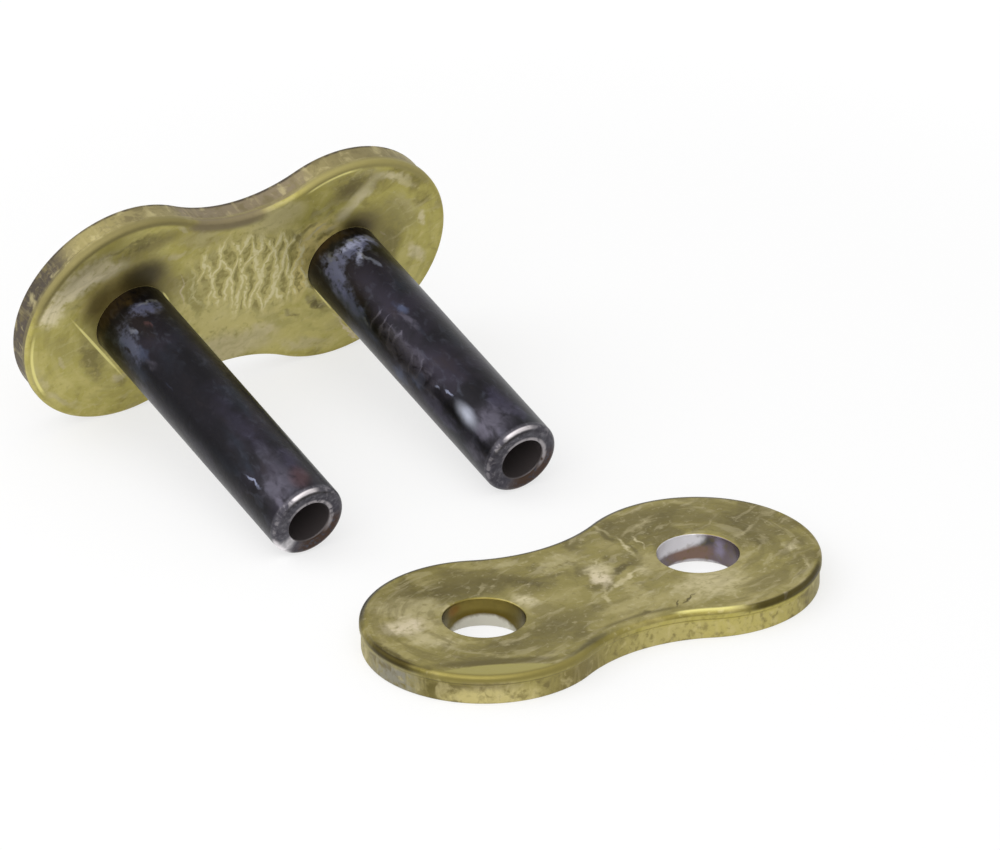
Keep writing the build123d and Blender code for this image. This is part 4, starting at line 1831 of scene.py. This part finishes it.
PIN_FROST = {
    "left": marks(
        (1.1, 3.4, 1.8, 0.8, 80, FROST_DARK, 0.9),
        (-1.2, 1.9, 1.4, 0.6, -10, FROST, 0.8),
    ),
    "right": marks(
        (1.4, 4.2, 2.4, 0.7, 86, FROST_DARK, 0.9),
        (1.0, 2.4, 1.9, 0.8, 75, FROST, 0.9),
        (-0.9, 1.7, 2.6, 0.9, 5, FROST, 0.9),
        (-1.4, 1.4, 1.6, 0.4, 5, FROST_WHITE, 0.9, 0.0),
        (-1.3, 2.3, 1.2, 0.3, 60, FROST_WHITE, 0.7, 0.0),
    ),
}

PIN_SPOTS = {
    "left": marks(
        (-0.6, 0.8, 0.6, 0.5, -13, STEEL_BROWN, 0.8),
        (0.8, 0.9, 1.6, 0.8, -85, STEEL_BLACK, 0.7, 0.3),
        (-1.5, 1.6, 0.8, 0.2, 0, STEEL_WHITE, 0.9),
        (-1.4, 2.3, 0.8, 0.3, -30, STEEL_GREY, 0.7),
        (-0.7, 3.4, 0.5, 0.2, -86, STEEL_RED, 0.7),
        (0.3, 3.0, 0.5, 0.2, -86, STEEL_PALE, 0.85),
        (1.3, 3.0, 0.9, 0.4, -80, STEEL_BLUE, 0.8),
        (0.9, 4.8, 0.9, 0.4, -87, STEEL_BLUE, 0.8),
        (0.9, 5.9, 0.8, 0.3, -84, STEEL_GREY, 0.7),
        (0.9, 3.9, 0.2, 0.1, -84, STEEL_PALE, 0.7),
        (2.9, 5.8, 1.9, 0.6, 88, STEEL_GREY, 0.35),
        (1.0, 8.3, 0.5, 0.1, 83, STEEL_BLUE, 0.7),
        (-0.8, 14.5, 4.3, 0.8, -87, STEEL_VIOLET, 0.4, 0.1),
        (2.4, 12.7, 2.8, 0.4, -88, STEEL_GREY, 0.3),
        (-1.9, 18.9, 1.7, 0.7, 87, STEEL_VIOLET, 0.8),
        (0.5, 21.4, 0.8, 0.3, -83, STEEL_GREY, 0.7),
        (1.0, 18.6, 0.9, 0.1, -85, STEEL_PALE, 0.8),
    ),
    "right": marks(
        (-1.4, 1.4, 0.9, 0.5, -3, STEEL_PALE, 0.85),
        (-1.5, 2.2, 0.4, 0.2, -76, STEEL_BLACK, 0.8),
        (-1.3, 1.1, 0.3, 0.2, 7, STEEL_WHITE, 0.9),
        (-2.6, 1.3, 0.4, 0.3, -82, STEEL_WHITE, 0.9),
        (-1.1, 2.7, 0.6, 0.2, -74, STEEL_WHITE, 0.8),
        (-1.5, 3.7, 0.8, 0.2, -71, STEEL_PALE, 0.7),
        (0.5, 1.5, 0.9, 0.3, 72, STEEL_PALE, 0.85),
        (1.0, 2.7, 0.9, 0.4, 78, STEEL_PALE, 0.85),
        (1.5, 4.1, 1.1, 0.5, 85, STEEL_BLUE, 0.85),
        (1.5, 6.0, 1.4, 0.4, 86, STEEL_BLUE, 0.8),
        (1.7, 6.9, 0.5, 0.2, 89, STEEL_PALE, 0.8),
        (-0.7, 8.2, 0.7, 0.3, -81, STEEL_BLUE, 0.7),
        (-0.6, 9.5, 1.0, 0.3, -82, STEEL_GREY, 0.6),
        (1.5, 9.7, 0.8, 0.4, 80, STEEL_GREY, 0.7),
        (1.7, 13.3, 0.8, 0.5, -74, STEEL_BLUE, 0.7),
        (2.6, 11.4, 0.9, 0.5, 86, STEEL_BLUE, 0.6),
        (0.9, 7.4, 0.8, 0.12, 12, STEEL_GREY, 0.8, 0.4),
        (0.8, 8.3, 0.9, 0.1, 8, STEEL_GREY, 0.8, 0.4),
        (1.0, 9.1, 0.7, 0.12, 15, STEEL_GREY, 0.8, 0.4),
        (0.9, 9.9, 0.8, 0.1, 5, STEEL_GREY, 0.8, 0.4),
        (1.3, 12.1, 0.7, 0.12, 20, STEEL_GREY, 0.8, 0.4),
        (1.2, 12.9, 0.8, 0.1, 10, STEEL_GREY, 0.8, 0.4),
        (1.0, 15.0, 0.4, 0.1, -86, STEEL_PALE, 0.8),
        (0.7, 16.2, 0.4, 0.1, -86, STEEL_PALE, 0.8),
        (0.8, 20.3, 0.8, 0.4, -88, STEEL_GREY, 0.7),
        (-1.6, 19.0, 1.8, 0.8, -89, STEEL_VIOLET, 0.8),
        (-2.1, 20.6, 0.9, 0.5, 72, STEEL_VIOLET, 0.7),
        (2.1, 16.2, 2.5, 0.7, -88, STEEL_VIOLET, 0.7),
        (2.2, 20.5, 1.2, 0.4, -80, STEEL_GREY, 0.6),
    ),
}


def loose_gold(seat: Seat, sizes: LinkSizes) -> GoldPlating:
    """Gives the loose plate its plating, with its marks, painted shade and painted highlights where
    they lie.

    Args:
        seat: Where the plate lies.
        sizes: The link's sizes.

    Returns:
        The finish.
    """
    return GoldPlating(
        "gold_loose",
        seat,
        sizes,
        seed=7.0,
        spots=LOOSE_SPOTS,
        # a lighter lip on the right lobe's front: painted highlight
        lip_spots=marks((6.0, -6.8, 8.0, 3.0, 0, tone("ABA14E"), 1.0, 0.5)),
        lines=LOOSE_LINES,
        bands=LOOSE_BANDS,
        wall_spots=LOOSE_WALL_SPOTS,
        hole_spots=LOOSE_HOLE_SPOTS,
        bare_and_sheen_spots=LOOSE_BARE_AND_SHEEN_SPOTS,
    )


def pinned_gold(seat: Seat, sizes: LinkSizes) -> GoldPlating:
    """Gives the pinned plate its plating, with its marks, painted shade and painted highlights
    where they lie.

    Args:
        seat: Where the plate leans.
        sizes: The link's sizes.

    Returns:
        The finish.
    """
    return GoldPlating(
        "gold_pinned",
        seat,
        sizes,
        seed=31.0,
        # The ground tones are lighter than the loose plate's: painted light against the shade on
        # this plate's front.
        deep=tone("7E7436"),
        olive=tone("ADA354"),
        tan=tone("BDB36A"),
        pale=tone("D4CA92"),
        lip=tone("8D8350"),
        wall=tone("93885A"),
        hole=tone("D8CA86"),
        streaks=0.25,
        wear=0.28,
        back_darkening=0.75,
        metallic=0.45,
        clouds=(0.36, 0.58),
        roughness=0.44,
        ripples=Spot((1.2, 1.0), (5.0, 3.1), -20, tone("DDD4A2"), 0.95, 0.6),
        spots=PINNED_SPOTS,
        lines=PINNED_LINES,
        bands=PINNED_BANDS,
        wall_spots=PINNED_WALL_SPOTS,
    )


def pin_steel(side: str, seat: Seat, sizes: LinkSizes, seed: float) -> BluedSteel:
    """Gives a pin its blued steel, with its marks and painted highlights where they lie.

    Args:
        side: The pin's side, left or right.
        seat: Where the pin sits.
        sizes: The link's sizes.
        seed: Where the random patterns start.

    Returns:
        The finish.
    """
    return BluedSteel(
        f"blued_{side}",
        seat,
        sizes,
        seed,
        spots=PIN_SPOTS[side],
        sheens=PIN_SHEENS[side],
        frost=PIN_FROST[side],
    )


# ------------------------------------------------------------------ the scene

FILLED_HOLE_BREAK = 0.04  # on the rims of the holes that the pins fill, in mm
PIN_SEED = 40.0


def main() -> None:
    """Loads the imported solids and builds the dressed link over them."""
    logging.basicConfig(level=logging.INFO, format="%(name)s: %(message)s")
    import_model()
    sizes = LinkSizes()
    Viewpoint().set_up()
    Studio().set_up()
    loose = Seat(sizes.loose_seat)
    pinned = Seat(sizes.pinned_seat, pi / 2 + sizes.lean)
    filled = replace(sizes, hole_break=FILLED_HOLE_BREAK)
    gold, worn_gold = loose_gold(loose, sizes), pinned_gold(pinned, sizes)
    pieces = [
        StampedPlate("loose_plate_dressed", "loose_plate", loose, gold, sizes).build(),
        StampedPlate("pinned_plate_dressed", "pinned_plate", pinned, worn_gold, filled).build(),
    ]
    pins = []
    for side, along in (("left", -sizes.half_pitch), ("right", sizes.half_pitch)):
        seat = pinned.shifted(along)
        finish = pin_steel(side, seat, sizes, PIN_SEED + along)
        pins.append(RivetPin(f"{side}_pin_dressed", f"{side}_pin", seat, finish, sizes))
    first = pins[0].shape()
    shaped = [first, *(Hand.copied(first, pin.name) for pin in pins[1:])]
    pieces += [pin.build(piece) for pin, piece in zip(pins, shaped)]
    for piece in pieces:
        log.info("%s: %d vertices", piece.name, len(piece.data.vertices))


if __name__ == "__main__":
    main()
